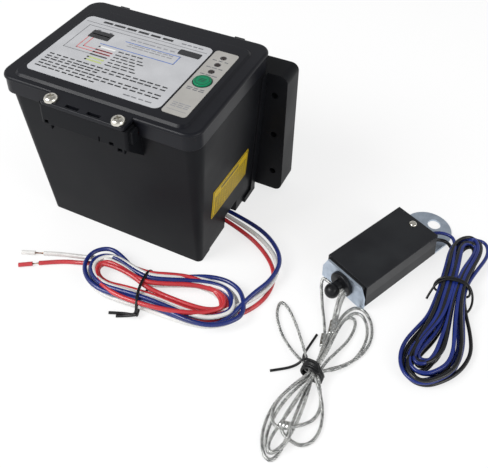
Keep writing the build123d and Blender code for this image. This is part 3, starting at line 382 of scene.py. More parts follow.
@dataclass(frozen=True)
class SoftRubber(Finish):
    """Rubber or foam: matt, pitted, with a dusty bloom."""

    roughness: float = 0.75
    bloom: str = "#2c2d2f"
    cell_mm: float = 1.2
    depth_mm: float = 0.12

    def build(self) -> Material:
        """Make the material."""
        material, tree, shader = self.start()
        tree.links.new(self.tint(tree, self.noise(tree, 12.0), self.colour, self.bloom),
                       shader.inputs["Base Color"])
        shader.inputs["Roughness"].default_value = self.roughness
        cells = {"Vector": self.place(tree), "Scale": 1.0 / (self.cell_mm * MM)}
        pits = add_node(tree, "ShaderNodeTexVoronoi", cells).outputs["Distance"]
        tree.links.new(self.relief(tree, pits, self.depth_mm), shader.inputs["Normal"])
        return material


@dataclass(frozen=True)
class ClearMoulding(Finish):
    """Clear or smoked moulding, such as a lens, a glass tube or an epoxy lamp."""

    roughness: float = 0.08
    transmission: float = 0.6

    def build(self) -> Material:
        """Make the material."""
        material, tree, shader = self.start()
        shader.inputs["Transmission Weight"].default_value = self.transmission
        shader.inputs["IOR"].default_value = 1.5
        tree.links.new(self.span(tree, self.noise(tree, 3.0), self.roughness, self.roughness + 0.08),
                       shader.inputs["Roughness"])
        return material


@dataclass(frozen=True)
class StrandedSteel(Finish):
    """Galvanised strand under clear vinyl: bright wires, dulled and glossed over by the jacket, with painted
    shade in the hollows between them.
    """

    roughness: float = 0.38
    # painted shade: the colour laid in the hollows between the wires
    hollow_shade: str = "#3f4143"

    def build(self) -> Material:
        """Make the material."""
        material, tree, shader = self.start()
        crown = add_node(tree, "ShaderNodeAttribute", attribute_name="crown").outputs["Fac"]
        drift = self.span(tree, self.noise(tree, 2.2, 3.0), -0.25, 0.25)
        shade = add_node(tree, "ShaderNodeMath", {0: crown, 1: drift}, operation="ADD",
                         use_clamp=True).outputs[0]
        # Painted shade: the hollows between the wires are drawn darker than the wires' crowns.
        tree.links.new(self.tint(tree, shade, self.hollow_shade, self.colour), shader.inputs["Base Color"])
        shader.inputs["Metallic"].default_value = 0.45
        shader.inputs["Roughness"].default_value = self.roughness
        shader.inputs["Coat Weight"].default_value = 0.5
        shader.inputs["Coat Roughness"].default_value = 0.08
        tree.links.new(self.relief(tree, self.noise(tree, 0.7, 1.0), 0.03), shader.inputs["Normal"])
        return material


FINISHES: dict[str, Finish] = {
    "case_black": MouldedPlastic("Spark-eroded black ABS", "#111215", lighter="#16171a", soft_edge_mm=0.7,
                                 specular=0.07),
    "lid_black": MouldedPlastic("Moulded black ABS lid", "#131419", lighter="#18191e", soft_edge_mm=0.3,
                                roughness=0.32, specular=0.15),
    "label_silver": PrintedFilm("Silver overlay film", "#b4b5b8", mottle="#abacaf", specular=0.3),
    "label_grey": PrintedFilm("Warm grey overlay film", "#a3a19d", mottle="#9b9995", specular=0.25),
    "label_yellow": PrintedFilm("Yellow polyester film", "#cbab14", mottle="#bb9b10", specular=0.15),
    "button_green": MouldedPlastic("Moulded green ABS", "#06714c", lighter="#097b54", roughness=0.36,
                                   grain=Grain.SMOOTH, specular=0.18),
    "lens_dark": ClearMoulding("Smoked acrylic lens", "#2a1f1c", transmission=0.35),
    "screw_nickel": PlatedMetal("Nickel-plated steel", "#e6e3d9", roughness=0.24, cloud="#c4c1b8",
                                cloud_mm=2.0),
    "steel_pin": PlatedMetal("Drawn steel wire", "#a5a8ac", roughness=0.3),
    "gasket_foam": SoftRubber("Closed-cell foam strip", "#1d1e20"),
    "grommet_rubber": SoftRubber("Moulded black rubber", "#121315", bloom="#1b1c1e", depth_mm=0.03,
                                 specular=0.25),
    "battery_case": MouldedPlastic("Moulded dark grey ABS", "#33353a", lighter="#3c3e44", soft_edge_mm=0.6),
    "terminal_tin": PlatedMetal("Tinned brass", "#c9c2b2", roughness=0.35, cloud="#a79f8c", cloud_mm=1.5),
    "foam_grey": SoftRubber("Open-cell foam", "#3b3c3f", bloom="#4a4b4f", cell_mm=1.8, depth_mm=0.3),
    "boot_clear_red": ClearMoulding("Red vinyl sleeve", "#b23030", transmission=0.2, roughness=0.25),
    "board_green": MouldedPlastic("Glass-epoxy board", "#1d5a39", lighter="#246b45", roughness=0.3,
                                  grain_mm=0.6),
    "carrier_black": MouldedPlastic("Moulded black nylon carrier", "#232427", lighter="#2b2c30"),
    "led_epoxy": ClearMoulding("Diffused epoxy", "#d9d3c4", transmission=0.3, roughness=0.3),
    "switch_body_black": MouldedPlastic("Black thermoset", "#1b1c1e", lighter="#232427", grain_mm=0.6),
    "capacitor_sleeve": ExtrudedPvc("Shrink sleeve", "#1f2a40", darker="#182133"),
    "regulator_black": MouldedPlastic("Transfer-moulded epoxy", "#202123", lighter="#2a2b2e", roughness=0.5),
    "header_white": MouldedPlastic("White nylon", "#dedbd1", lighter="#e6e3da", roughness=0.4,
                                   grain=Grain.SMOOTH),
    "fuse_glass": ClearMoulding("Borosilicate tube", "#dfe6e8", transmission=0.9, roughness=0.03),
    "wire_red": ExtrudedPvc("Red PVC insulation", "#c2353b", darker="#ad2c33"),
    "wire_white": ExtrudedPvc("White PVC insulation", "#dcdbd8", darker="#cbcac8"),
    "wire_blue": ExtrudedPvc("Navy PVC insulation", "#1b2c74", darker="#15225e"),
    "wire_black": ExtrudedPvc("Black PVC insulation", "#121315", darker="#0c0d0f", roughness=0.28,
                              specular=0.35),
    "lead_blue": ExtrudedPvc("Royal blue PVC insulation", "#182b76", darker="#122060", roughness=0.28,
                             specular=0.35),
    "copper_strand": PlatedMetal("Tinned copper strands", "#cfa98a", roughness=0.35, cloud="#b5825f",
                                 cloud_mm=0.8),
    "tie_black": ExtrudedPvc("Black vinyl tie", "#101113", darker="#0b0c0e", roughness=0.4, specular=0.3),
    "harness_coil": ExtrudedPvc("Wound PVC wires", "#7a4a66", darker="#5c3850"),
    "lead_coil": ExtrudedPvc("Wound PVC leads", "#20306b", darker="#182450"),
    "sleeve_alloy": PlatedMetal("Pressed aluminium sleeve", "#d9dad8", roughness=0.3, cloud="#b4b5b3",
                                cloud_mm=1.2),
    "lanyard_vinyl": StrandedSteel("Vinyl-coated steel strand", "#e3e4e1"),
    "bracket_zinc": PlatedMetal("Zinc-plated sheet steel", "#c6d2e0", roughness=0.46, cloud="#aebac8",
                                cloud_mm=5.0),
    "cover_black": CoatedSteel("Stoved black enamel", "#15161a", specular=0.3),
    "insulator_block": MouldedPlastic("Black phenolic", "#1b1c1e", lighter="#242528"),
    "pin_black": MouldedPlastic("Moulded black nylon", "#111215", lighter="#17181b", roughness=0.32,
                                soft_edge_mm=0.4, specular=0.25),
    "contact_brass": PlatedMetal("Turned brass", "#c7a456", roughness=0.28, cloud="#a5853f", cloud_mm=1.2),
    "boot_rubber": SoftRubber("Moulded boot rubber", "#111213", bloom="#1a1b1d", depth_mm=0.03,
                              specular=0.25),
    "ink_black": Ink("Black screen ink", "#1d1e21", paler="#2c2d31"),
    "ink_grey": Ink("Grey screen ink", "#5f6064", paler="#707175"),
    "ink_faint": Ink("Thin grey screen ink", "#7d7e82", paler="#8c8d91"),
    "ink_white": Ink("White screen ink", "#e0e0de", paler="#d4d4d1"),
    "ink_red": Ink("Red screen ink", "#b8595c", paler="#c07a7c"),
    "ink_blue": Ink("Blue screen ink", "#4a64a4", paler="#6a80b4"),
    "ink_green": Ink("Yellow-green screen ink", "#a3b06c", paler="#b0bb84"),
    "ink_olive": Ink("Dark olive screen ink on yellow", "#4b4310", paler="#5d5416"),
    "ink_pine": Ink("Dark green pad print", "#0b4232", paler="#0f4f3c"),
}


class Paintbox:
    """Makes each finish once, on first use."""

    def __init__(self) -> None:
        """Start empty."""
        self.made: dict[str, Material] = {}

    def get(self, name: str) -> Material:
        """Return a finish's material.

        Args:
            name: The key in FINISHES.

        Returns:
            The material.
        """
        if name not in self.made:
            self.made[name] = FINISHES[name].build()
        return self.made[name]


# ---------------------------------------------------------------------------------- geometry nodes
class Grower:
    """Builds the Geometry Nodes trees and turns their results into plain meshes."""

    HOLLOW_SHARE = 0.37  # radius of a strand between two wires, as a share of its diameter
    SHORTEST_BAR, LONGEST_BAR = 0.6, 0.93  # bars of small print, as shares of their cell

    def __init__(self) -> None:
        """Build every tree."""
        self.wire_tree = self.make_wire_tree()
        self.strand_tree = self.make_strand_tree()
        self.word_tree = self.make_word_tree()

    def new_tree(self, name: str, sockets: dict[str, str]) -> tuple[Tree, Node, Node]:
        """Make a tree with named inputs.

        Args:
            name: The tree's name.
            sockets: Input name to socket type.

        Returns:
            The tree, its input node and its output node.
        """
        tree = bpy.data.node_groups.new(name, "GeometryNodeTree")
        tree.interface.new_socket("Geometry", in_out="INPUT", socket_type="NodeSocketGeometry")
        for label, kind in sockets.items():
            tree.interface.new_socket(label, in_out="INPUT", socket_type=kind)
        tree.interface.new_socket("Geometry", in_out="OUTPUT", socket_type="NodeSocketGeometry")
        return tree, tree.nodes.new("NodeGroupInput"), tree.nodes.new("NodeGroupOutput")

    def close_tree(self, tree: Tree, geometry: Socket, material: Socket,
                   out: Node) -> None:
        """End a tree in Realize Instances and Set Material.

        Args:
            tree: The tree.
            geometry: What it made.
            material: The material socket.
            out: The output node.
        """
        real = add_node(tree, "GeometryNodeRealizeInstances", {"Geometry": geometry})
        dressed = add_node(tree, "GeometryNodeSetMaterial",
                           {"Geometry": real.outputs[0], "Material": material})
        tree.links.new(dressed.outputs[0], out.inputs[0])

    def make_wire_tree(self) -> Tree:
        """Round jacket along a path."""
        sockets = {"Diameter": "NodeSocketFloat", "Sides": "NodeSocketInt", "Material": "NodeSocketMaterial"}
        tree, given, out = self.new_tree("Round jacket", sockets)
        radius = add_node(tree, "ShaderNodeMath", {0: given.outputs["Diameter"], 1: 0.5},
                          operation="MULTIPLY")
        section = {"Resolution": given.outputs["Sides"], "Radius": radius.outputs[0]}
        ring = add_node(tree, "GeometryNodeCurvePrimitiveCircle", section)
        sweep = {"Curve": given.outputs["Geometry"], "Profile Curve": ring.outputs[0], "Fill Caps": True}
        tube = add_node(tree, "GeometryNodeCurveToMesh", sweep)
        smooth = add_node(tree, "GeometryNodeSetShadeSmooth",
                          {"Geometry": tube.outputs[0], "Shade Smooth": True})
        self.close_tree(tree, smooth.outputs[0], given.outputs["Material"], out)
        return tree

    def make_strand_tree(self) -> Tree:
        """Twisted strand: a lobed section that turns once in each lay, its wires' tops kept as crown."""
        sockets = {"Diameter": "NodeSocketFloat", "Lay": "NodeSocketFloat", "Wires": "NodeSocketInt",
                   "Material": "NodeSocketMaterial"}
        tree, given, out = self.new_tree("Twisted strand", sockets)
        across = given.outputs["Diameter"]
        run = add_node(tree, "GeometryNodeSplineParameter").outputs["Length"]
        turns = add_node(tree, "ShaderNodeMath", {0: run, 1: given.outputs["Lay"]}, operation="DIVIDE")
        angle = add_node(tree, "ShaderNodeMath", {0: turns.outputs[0], 1: math.tau}, operation="MULTIPLY")
        twist = {"Curve": given.outputs["Geometry"], "Tilt": angle.outputs[0]}
        turned = add_node(tree, "GeometryNodeSetCurveTilt", twist)
        outer = add_node(tree, "ShaderNodeMath", {0: across, 1: 0.5}, operation="MULTIPLY")
        inner = add_node(tree, "ShaderNodeMath", {0: across, 1: self.HOLLOW_SHARE}, operation="MULTIPLY")
        lobes = {"Points": given.outputs["Wires"], "Inner Radius": inner.outputs[0],
                 "Outer Radius": outer.outputs[0]}
        star = add_node(tree, "GeometryNodeCurveStar", lobes)
        # crown marks the wires' tops; the strand's material paints shade in the hollows between them
        tops = {"Geometry": star.outputs[0], "Name": "crown", "Value": star.outputs["Outer Points"]}
        crown = add_node(tree, "GeometryNodeStoreNamedAttribute", tops, data_type="FLOAT", domain="POINT")
        sweep = {"Curve": turned.outputs[0], "Profile Curve": crown.outputs[0], "Fill Caps": True}
        tube = add_node(tree, "GeometryNodeCurveToMesh", sweep)
        smooth = add_node(tree, "GeometryNodeSetShadeSmooth",
                          {"Geometry": tube.outputs[0], "Shade Smooth": True})
        self.close_tree(tree, smooth.outputs[0], given.outputs["Material"], out)
        return tree

    def make_word_tree(self) -> Tree:
        """Rows of short bars of random length, standing for small print that says nothing."""
        sockets = {"Width": "NodeSocketFloat", "Cell": "NodeSocketFloat", "Rows": "NodeSocketInt",
                   "Pitch": "NodeSocketFloat",
                   "Words": "NodeSocketInt", "Bar Height": "NodeSocketFloat", "Ink": "NodeSocketFloat",
                   "Seed": "NodeSocketInt",
                   "Material": "NodeSocketMaterial"}
        tree, given, out = self.new_tree("Rows of small print", sockets)
        rows_less = add_node(tree, "ShaderNodeMath", {0: given.outputs["Rows"], 1: 1.0}, operation="SUBTRACT")
        height = add_node(tree, "ShaderNodeMath", {0: rows_less.outputs[0], 1: given.outputs["Pitch"]},
                          operation="MULTIPLY")
        sizes = {"Size X": given.outputs["Width"], "Size Y": height.outputs[0],
                 "Vertices X": given.outputs["Words"], "Vertices Y": given.outputs["Rows"]}
        grid = add_node(tree, "GeometryNodeMeshGrid", sizes)
        points = add_node(tree, "GeometryNodeMeshToPoints", {"Mesh": grid.outputs[0]})
        bar = add_node(tree, "GeometryNodeMeshCube")
        draw = {2: self.SHORTEST_BAR, 3: self.LONGEST_BAR, "Seed": given.outputs["Seed"]}
        share = add_node(tree, "FunctionNodeRandomValue", draw, data_type="FLOAT")
        length = add_node(tree, "ShaderNodeMath", {0: given.outputs["Cell"], 1: share.outputs[1]},
                          operation="MULTIPLY")
        size = {0: length.outputs[0], 1: given.outputs["Bar Height"], 2: given.outputs["Ink"]}
        scale = add_node(tree, "ShaderNodeCombineXYZ", size)
        places = {"Points": points.outputs[0], "Instance": bar.outputs[0], "Scale": scale.outputs[0]}
        placed = add_node(tree, "GeometryNodeInstanceOnPoints", places)
        self.close_tree(tree, placed.outputs[0], given.outputs["Material"], out)
        return tree

    def run(self, tree: Tree, carrier: bpy.types.ID, values: dict[str, Any]) -> Mesh:
        """Evaluate a tree on a carrier and keep the result as a plain mesh.

        Args:
            tree: The tree.
            carrier: The curve or mesh it starts from.
            values: Input name to value.

        Returns:
            The mesh.
        """
        holder = bpy.data.objects.new("carrier", carrier)
        bpy.context.scene.collection.objects.link(holder)
        modifier = holder.modifiers.new("grow", "NODES")
        modifier.node_group = tree
        names = {item.name: item.identifier for item in tree.interface.items_tree if item.in_out == "INPUT"}
        for label, value in values.items():
            modifier[names[label]] = value
        bpy.context.view_layer.update()
        graph = bpy.context.evaluated_depsgraph_get()
        mesh = bpy.data.meshes.new_from_object(holder.evaluated_get(graph))
        bpy.data.objects.remove(holder)
        return mesh


# ---------------------------------------------------------------------------------- routes
STRAND_LAY_MM = 10.5  # a real cable of this size lies a little shorter; drawn longer so that its wires show
STRAND_WIRES = 6
COPPER_WIRES = 7
JACKET_SIDES = 14
WANDER_WAVES = 9.0  # radians of drift that a turn goes through on its way round
TURN_PHASE = 2.1  # radians from one turn's drift to the next one's
TIE_LIFT_MM = 1.2  # how far the tie's squeeze lifts the wires
LOOSE_SAG = 0.14  # share of its height that a fully loose wire sinks
EASE_FROM = 0.72  # share of a turn after which the wire eases over to the next turn's lane


def smooth_route(points: Sequence[Sequence[float]], steps: int = 6) -> list[Vector]:
    """Lay one NURBS spline through a cord's control points and read back its line.

    Args:
        points: Control points in millimetres.
        steps: Points along each span.

    Returns:
        The points of the smooth line, in metres.
    """
    curve = bpy.data.curves.new("route", "CURVE")
    curve.dimensions = "3D"
    curve.resolution_u = steps
    spline = curve.splines.new("NURBS")
    spline.points.add(len(points) - 1)
    for slot_point, place in zip(spline.points, metres(points)):
        slot_point.co = (*place, 1.0)
    spline.order_u = 3
    spline.use_endpoint_u = True
    holder = bpy.data.objects.new("route", curve)
    bpy.context.scene.collection.objects.link(holder)
    bpy.context.view_layer.update()
    graph = bpy.context.evaluated_depsgraph_get()
    mesh = bpy.data.meshes.new_from_object(holder.evaluated_get(graph))
    line = [v.co.copy() for v in mesh.vertices]
    bpy.data.objects.remove(holder)
    bpy.data.meshes.remove(mesh)
    return line


def path_curve(line: Sequence[Vector]) -> bpy.types.Curve:
    """Make a plain open curve through points, for a tree to work on.

    Args:
        line: The points, in metres.

    Returns:
        The curve.
    """
    curve = bpy.data.curves.new("path", "CURVE")
    curve.dimensions = "3D"
    spline = curve.splines.new("POLY")
    spline.points.add(len(line) - 1)
    for slot_point, place in zip(spline.points, line):
        slot_point.co = (*place, 1.0)
    return curve


def run_length(line: Sequence[Vector]) -> float:
    """Length of a line of points."""
    return sum((b - a).length for a, b in zip(line, line[1:]))


def route_end(route: Sequence[Point]) -> tuple[Vector, Vector]:
    """Last point of a route, in millimetres, and the direction in which it ends."""
    end, before = Vector(route[-1]), Vector(route[-2])
    return end, (end - before).normalized()


def bridge(shell: bmesh.types.BMesh, first: Sequence[Any], second: Sequence[Any]) -> None:
    """Join two rings of vertices with a band of faces.

    Args:
        shell: The mesh that holds them.
        first: One ring.
        second: The next ring, with as many vertices.
    """
    for i in range(len(first)):
        j = (i + 1) % len(first)
        shell.faces.new((first[i], first[j], second[j], second[i]))


@dataclass(frozen=True)
class Turn:
    """One turn of a wire in a tied coil.

    Attributes:
        lane: 0 on the coil's outer line, 1 on its inner line.
        height: Height of the wire's centre, in millimetres.
        stretch: Share by which its ends reach further from the tie.
        strays: First and last station of each stray off the lane, how far it goes as a lane, and how far up
            in millimetres.
    """

    lane: float
    height: float
    stretch: float = 0.0
    strays: tuple[tuple[int, int, float, float], ...] = ()

    def strayed(self, station: int) -> tuple[float, float]:
        """Lane and height offsets at a station, easing in and out between the two ends of each stray."""
        lane, rise = 0.0, 0.0
        for first, last, aside, up in self.strays:
            share = (station - first) / (last - first)
            if 0.0 < share < 1.0:
                bump = math.sin(math.pi * share) ** 2
                lane += aside * bump
                rise += up * bump
        return lane, rise


@dataclass(frozen=True)
class TiedCoil:
    """A long coil with a tie round its middle, in plan: its outermost and innermost lines, by station.

    Attributes:
        outer: The outermost line, in millimetres.
        inner: The innermost line, with a point for each one of the outer line.
        tie: The tie's place.
        reach: Distance from the tie at which the turns lie fully loose.
        floor: Height of the lowest wire's centre.
        wander: How far a loose turn drifts off its lane, as a lane.
    """

    outer: tuple[tuple[float, float], ...]
    inner: tuple[tuple[float, float], ...]
    tie: tuple[float, float]
    reach: float
    floor: float
    wander: float = 0.09

    def place(self, station: int, lane: float, height: float, stretch: float, phase: float) -> Point:
        """One point of a turn.

        Args:
            station: Index along the turn.
            lane: Place between the outer and inner lines.
            height: Height of the wire's centre.
            stretch: Extra reach of the turn's ends.
            phase: Sets where this turn wanders off its lane.

        Returns:
            The point in millimetres.
        """
        a, b = Vector(self.outer[station]), Vector(self.inner[station])
        spot = a.lerp(b, lane)
        away = spot - Vector(self.tie)
        loose = min(1.0, away.length / self.reach) ** 2
        drift = self.wander * loose * math.sin(phase + WANDER_WAVES * station / len(self.outer))
        spot = a.lerp(b, lane + drift) + away * stretch * loose
        held = TIE_LIFT_MM * (1.0 - loose)
        sag = LOOSE_SAG * loose * (height - self.floor)
        return (spot.x, spot.y, height + held - sag)

    def wind(self, turns: Sequence[Turn], first: int, last: int, phase: float) -> list[Point]:
        """Lay a wire round the coil, easing from each turn's lane to the next as it goes.

        Args:
            turns: The turns in order; the last may be part of one.
            first: Station at which the wire joins the first turn.
            last: Station at which it leaves the last one.
            phase: Sets how the turns wander.

        Returns:
            The control points.
        """
        count = len(self.outer)
        route: list[Point] = []
        for index, turn in enumerate(turns):
            after = turns[min(index + 1, len(turns) - 1)]
            begin = first if index == 0 else 0
            end = last if index == len(turns) - 1 else count
            for station in range(begin, end):
                ease = max(0.0, (station / count - EASE_FROM) / (1 - EASE_FROM))
                ease = ease * ease * (3 - 2 * ease)
                lane = turn.lane + (after.lane - turn.lane) * ease
                height = turn.height + (after.height - turn.height) * ease
                stretch = turn.stretch + (after.stretch - turn.stretch) * ease
                aside, up = turn.strayed(station)
                drift = phase + TURN_PHASE * index
                route.append(self.place(station, lane + aside, height + up, stretch, drift))
        return route


@dataclass
class CordSpec:
    """A free wire or cable: what it is and where it lies."""

    name: str
    finish: str
    body: str
    route: list[Point]
    diameter_mm: float
    length_m: float
    far_end: str
    replaces: tuple[str, ...]
    lay: str = "coiled"
    stiffness: str = "limp"
    twisted: bool = False
    companions: list[Piece] = field(default_factory=list)


class CordMaker:
    """Turns cord specifications and short lengths of wire into pieces."""

    def __init__(self, grower: Grower, paints: Paintbox) -> None:
        """Keep the shared tools.

        Args:
            grower: The Geometry Nodes trees.
            paints: The finishes.
        """
        self.grower = grower
        self.paints = paints

    def tube(self, line: Sequence[Vector], diameter_mm: float, finish: str) -> Mesh:
        """Sweep a round jacket along a line.

        Args:
            line: Points in metres.
            diameter_mm: Its diameter.
            finish: The finish's name.

        Returns:
            The mesh.
        """
        values = {"Diameter": diameter_mm * MM, "Sides": JACKET_SIDES, "Material": self.paints.get(finish)}
        return self.grower.run(self.grower.wire_tree, path_curve(line), values)

    def strand(self, line: Sequence[Vector], diameter_mm: float, finish: str, lay_mm: float,
               wires: int) -> Mesh:
        """Sweep a twisted strand along a line.

        Args:
            line: Points in metres.
            diameter_mm: Its diameter.
            finish: The finish's name.
            lay_mm: Length of one full twist.
            wires: Lobes round it.

        Returns:
            The mesh.
        """
        values = {"Diameter": diameter_mm * MM, "Lay": lay_mm * MM, "Wires": wires,
                  "Material": self.paints.get(finish)}
        return self.grower.run(self.grower.strand_tree, path_curve(line), values)

    def tie_wire(self, name: str, body: str, node: str, route: Sequence[Point], diameter_mm: float) -> Piece:
        """Bend a coated tie wire round a coil, in place of the CAD's tie.

        Args:
            name: The piece's name.
            body: The body it rides on.
            node: The CAD node it takes the place of.
            route: Its control points, in millimetres.
            diameter_mm: Its diameter.

        Returns:
            The piece.
        """
        mesh = self.tube(smooth_route(route), diameter_mm, "tie_black")
        piece = add_piece(name, mesh, body)
        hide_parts(node)
        return piece

    def bare_strands(self, route: Sequence[Point], bare_mm: float, diameter_mm: float, lay_mm: float) -> Mesh:
        """Twist bare copper strands beyond a wire's end.

        Args:
            route: The wire's control points.
            bare_mm: Length that stands out of the jacket.
            diameter_mm: Diameter over the strands.
            lay_mm: Length of one full twist.

        Returns:
            The mesh.
        """
        end, along = route_end(route)
        line = metres([end - along, end + along * bare_mm])
        return self.strand(line, diameter_mm, "copper_strand", lay_mm, COPPER_WIRES)

    def cord(self, spec: CordSpec) -> Piece:
        """Build a free cord.

        Args:
            spec: What it is and where it lies.

        Returns:
            The piece.
        """
        line = smooth_route(spec.route)
        if spec.twisted:
            mesh = self.strand(line, spec.diameter_mm, spec.finish, STRAND_LAY_MM, STRAND_WIRES)
        else:
            mesh = self.tube(line, spec.diameter_mm, spec.finish)
        piece = add_piece(spec.name, mesh, spec.body)
        if spec.replaces:
            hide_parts(*spec.replaces)
        LOG.info("cord %s measures %.3f m", spec.name, run_length(line))
        return piece


# ---------------------------------------------------------------------------------- harness
@dataclass
class Harness:
    """Three wires out of the case, wound into one flat tied coil, with two stripped tails."""

    maker: CordMaker
    wire_mm: float = 3.2
    slug_mm: float = 10.0
    copper_mm: float = 1.9
    copper_lay_mm: float = 14.0
    past_slug_mm: float = 1.5
    tie_mm: float = 2.1
    coil: TiedCoil = TiedCoil(
        outer=((115, -78), (110, -88), (100, -96.5), (87, -100.5), (74, -102), (60, -103), (46, -104),
               (33, -105.5), (20, -105.5), (8, -102), (-1, -95), (-5.5, -86), (-4, -77), (4, -70),
               (15, -70.5), (29, -75.5), (43, -77), (56, -71), (69, -63), (82, -58), (95, -57.5),
               (107, -63)),
        inner=((102, -79), (97, -84), (90, -87.5), (80, -89.3), (68, -90), (57, -90.3), (45, -91.5),
               (32, -93), (21, -95.5), (13, -95), (7, -91.5), (4.5, -87), (6, -83.5), (11, -81.5),
               (20, -83), (31, -85.5), (44, -87), (58, -81.5), (72, -74), (84, -70.5), (94, -70),
               (100, -73.5)),
        tie=(46.0, -91.0), reach=48.0, floor=1.8)

    def wires(self) -> list[CordSpec]:
        """Lay out the three wires.

        Returns:
            One specification a wire.
        """
        red = [(58.5, -6.6, 8.0), (84, -10.6, 5.2), (105, -19, 1.8), (119.6, -33.4, 1.8),
               (123.2, -52.5, 1.8), (116.6, -71, 1.8)]
        red += self.coil.wind([Turn(0.55, 1.8), Turn(0.88, 8.1, -0.03, ((1, 11, -0.8, 0.0),)),
                               Turn(0.95, 5.0, 0.0, ((12, 21, -0.9, 3.0),)), Turn(1.2, 5.0)], 1, 6, 0.4)
        red += [(44, -88.5, 8.6), (34, -85.5, 9.4), (22, -84, 9.0), (10, -83.8, 8.2), (-1, -85, 4.6),
                (-11, -87, 1.9), (-25, -92, 1.8), (-38.8, -100.8, 1.8)]
        white = [(58.5, -2.4, 8.0), (84, -6.5, 6.6), (106, -15, 5.4), (120.9, -29.2, 5.2),
                 (122.4, -48.2, 5.2), (114.8, -65.6, 5.2)]
        white += self.coil.wind([Turn(0.85, 5.0),
                                 Turn(0.6, 8.1, 0.0, ((1, 8, 0.1, -3.0), (12, 20, -0.32, 0.0))),
                                 Turn(0.2, 1.8), Turn(1.1, 1.8)], 1, 6, 2.2)
        white += [(45, -86, 4.6), (34, -82.5, 7.6), (20, -80.5, 8.6), (8, -79.5, 7.8), (-3, -80, 4.4),
                  (-12, -81.6, 1.9), (-30, -87, 1.8), (-41.5, -91.8, 1.8)]
        blue = [(58.5, 1.8, 8.0), (84, -1.8, 8.0), (106, -10.5, 8.6), (121.5, -26, 8.8), (121.5, -46, 8.8),
                (114.5, -62, 8.6)]
        blue += self.coil.wind([Turn(0.3, 5.0),
                                Turn(0.02, 8.1, 0.02, ((2, 9, 0.42, -2.6), (12, 21, 0.55, -1.0))),
                                Turn(0.5, 8.1, 0.0, ((1, 5, 0.1, -3.0), (9, 14, -0.15, 0.0))),
                                Turn(0.75, 5.0)], 1, 10, 3.9)
        return [
            CordSpec("harness_wire_red", "wire_red", "case", red, self.wire_mm, 1.0, "bare",
                     ("harness_red", "tail_red", "harness_hank")),
            CordSpec("harness_wire_white", "wire_white", "case", white, self.wire_mm, 1.0, "bare",
                     ("harness_white", "tail_white")),
            CordSpec("harness_wire_blue", "wire_blue", "case", blue, self.wire_mm, 1.0, "bare",
                     ("harness_blue",)),
        ]

    def stripped_end(self, name: str, route: Sequence[Point], bare_mm: float, slug: Optional[str]) -> Piece:
        """Bare strands beyond a wire's end, with the cut slug of jacket pulled off them if there is one.

        Args:
            name: The piece's name.
            route: The wire's control points.
            bare_mm: Length of bare strands that shows.
            slug: Finish of the slug, or None.

        Returns:
            The piece.
        """
        end, along = route_end(route)
        mesh = self.maker.bare_strands(route, bare_mm + self.past_slug_mm, self.copper_mm, self.copper_lay_mm)
        shell = bmesh.new()
        shell.from_mesh(mesh)
        if slug is not None:
            line = metres([end + along * bare_mm, end + along * (bare_mm + self.slug_mm)])
            jacket = self.maker.tube(line, self.wire_mm, slug)
            mesh.materials.append(self.maker.paints.get(slug))
            known = len(shell.faces)
            shell.from_mesh(jacket)
            shell.faces.ensure_lookup_table()
            for face in list(shell.faces)[known:]:
                face.material_index = 1
        shell.to_mesh(mesh)
        shell.free()
        return add_piece(name, mesh, "case")

    def tie(self) -> Piece:
        """Coated tie wire: once round the coil, with its twisted tail on the ground."""
        route = [(31, -113.5, 1.2), (40, -109.5, 1.2), (47.5, -108, 1.6), (49.5, -107, 5.5),
                 (48, -104, 10.3), (44.5, -97, 11.0), (42, -88, 11.0), (41, -79, 10.6), (41, -74.2, 7.5),
                 (41.5, -73.5, 3.0), (43, -77, 1.2), (45, -90, 1.2), (48, -103, 1.2), (50, -107.6, 2.0),
                 (50.5, -108.2, 4.2), (48.5, -109, 3.4), (43, -110.6, 1.3), (37, -113.6, 1.2)]
        return self.maker.tie_wire("harness_tie_wire", "case", "harness_tie", route, self.tie_mm)

    def build(self) -> None:
        """Make the harness."""
        red, white, blue = self.wires()
        red_end = self.stripped_end("harness_end_red", red.route, 4.6, "wire_red")
        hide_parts("tail_strands", "tail_slugs")
        white_end = self.stripped_end("harness_end_white", white.route, 6.5, "wire_white")
        blue_end = self.stripped_end("harness_end_blue", blue.route, 5.0, None)
        red.companions = [red_end, self.tie()]
        white.companions = [white_end]
        blue.companions = [blue_end]
        for spec in (red, white, blue):
            self.maker.cord(spec)


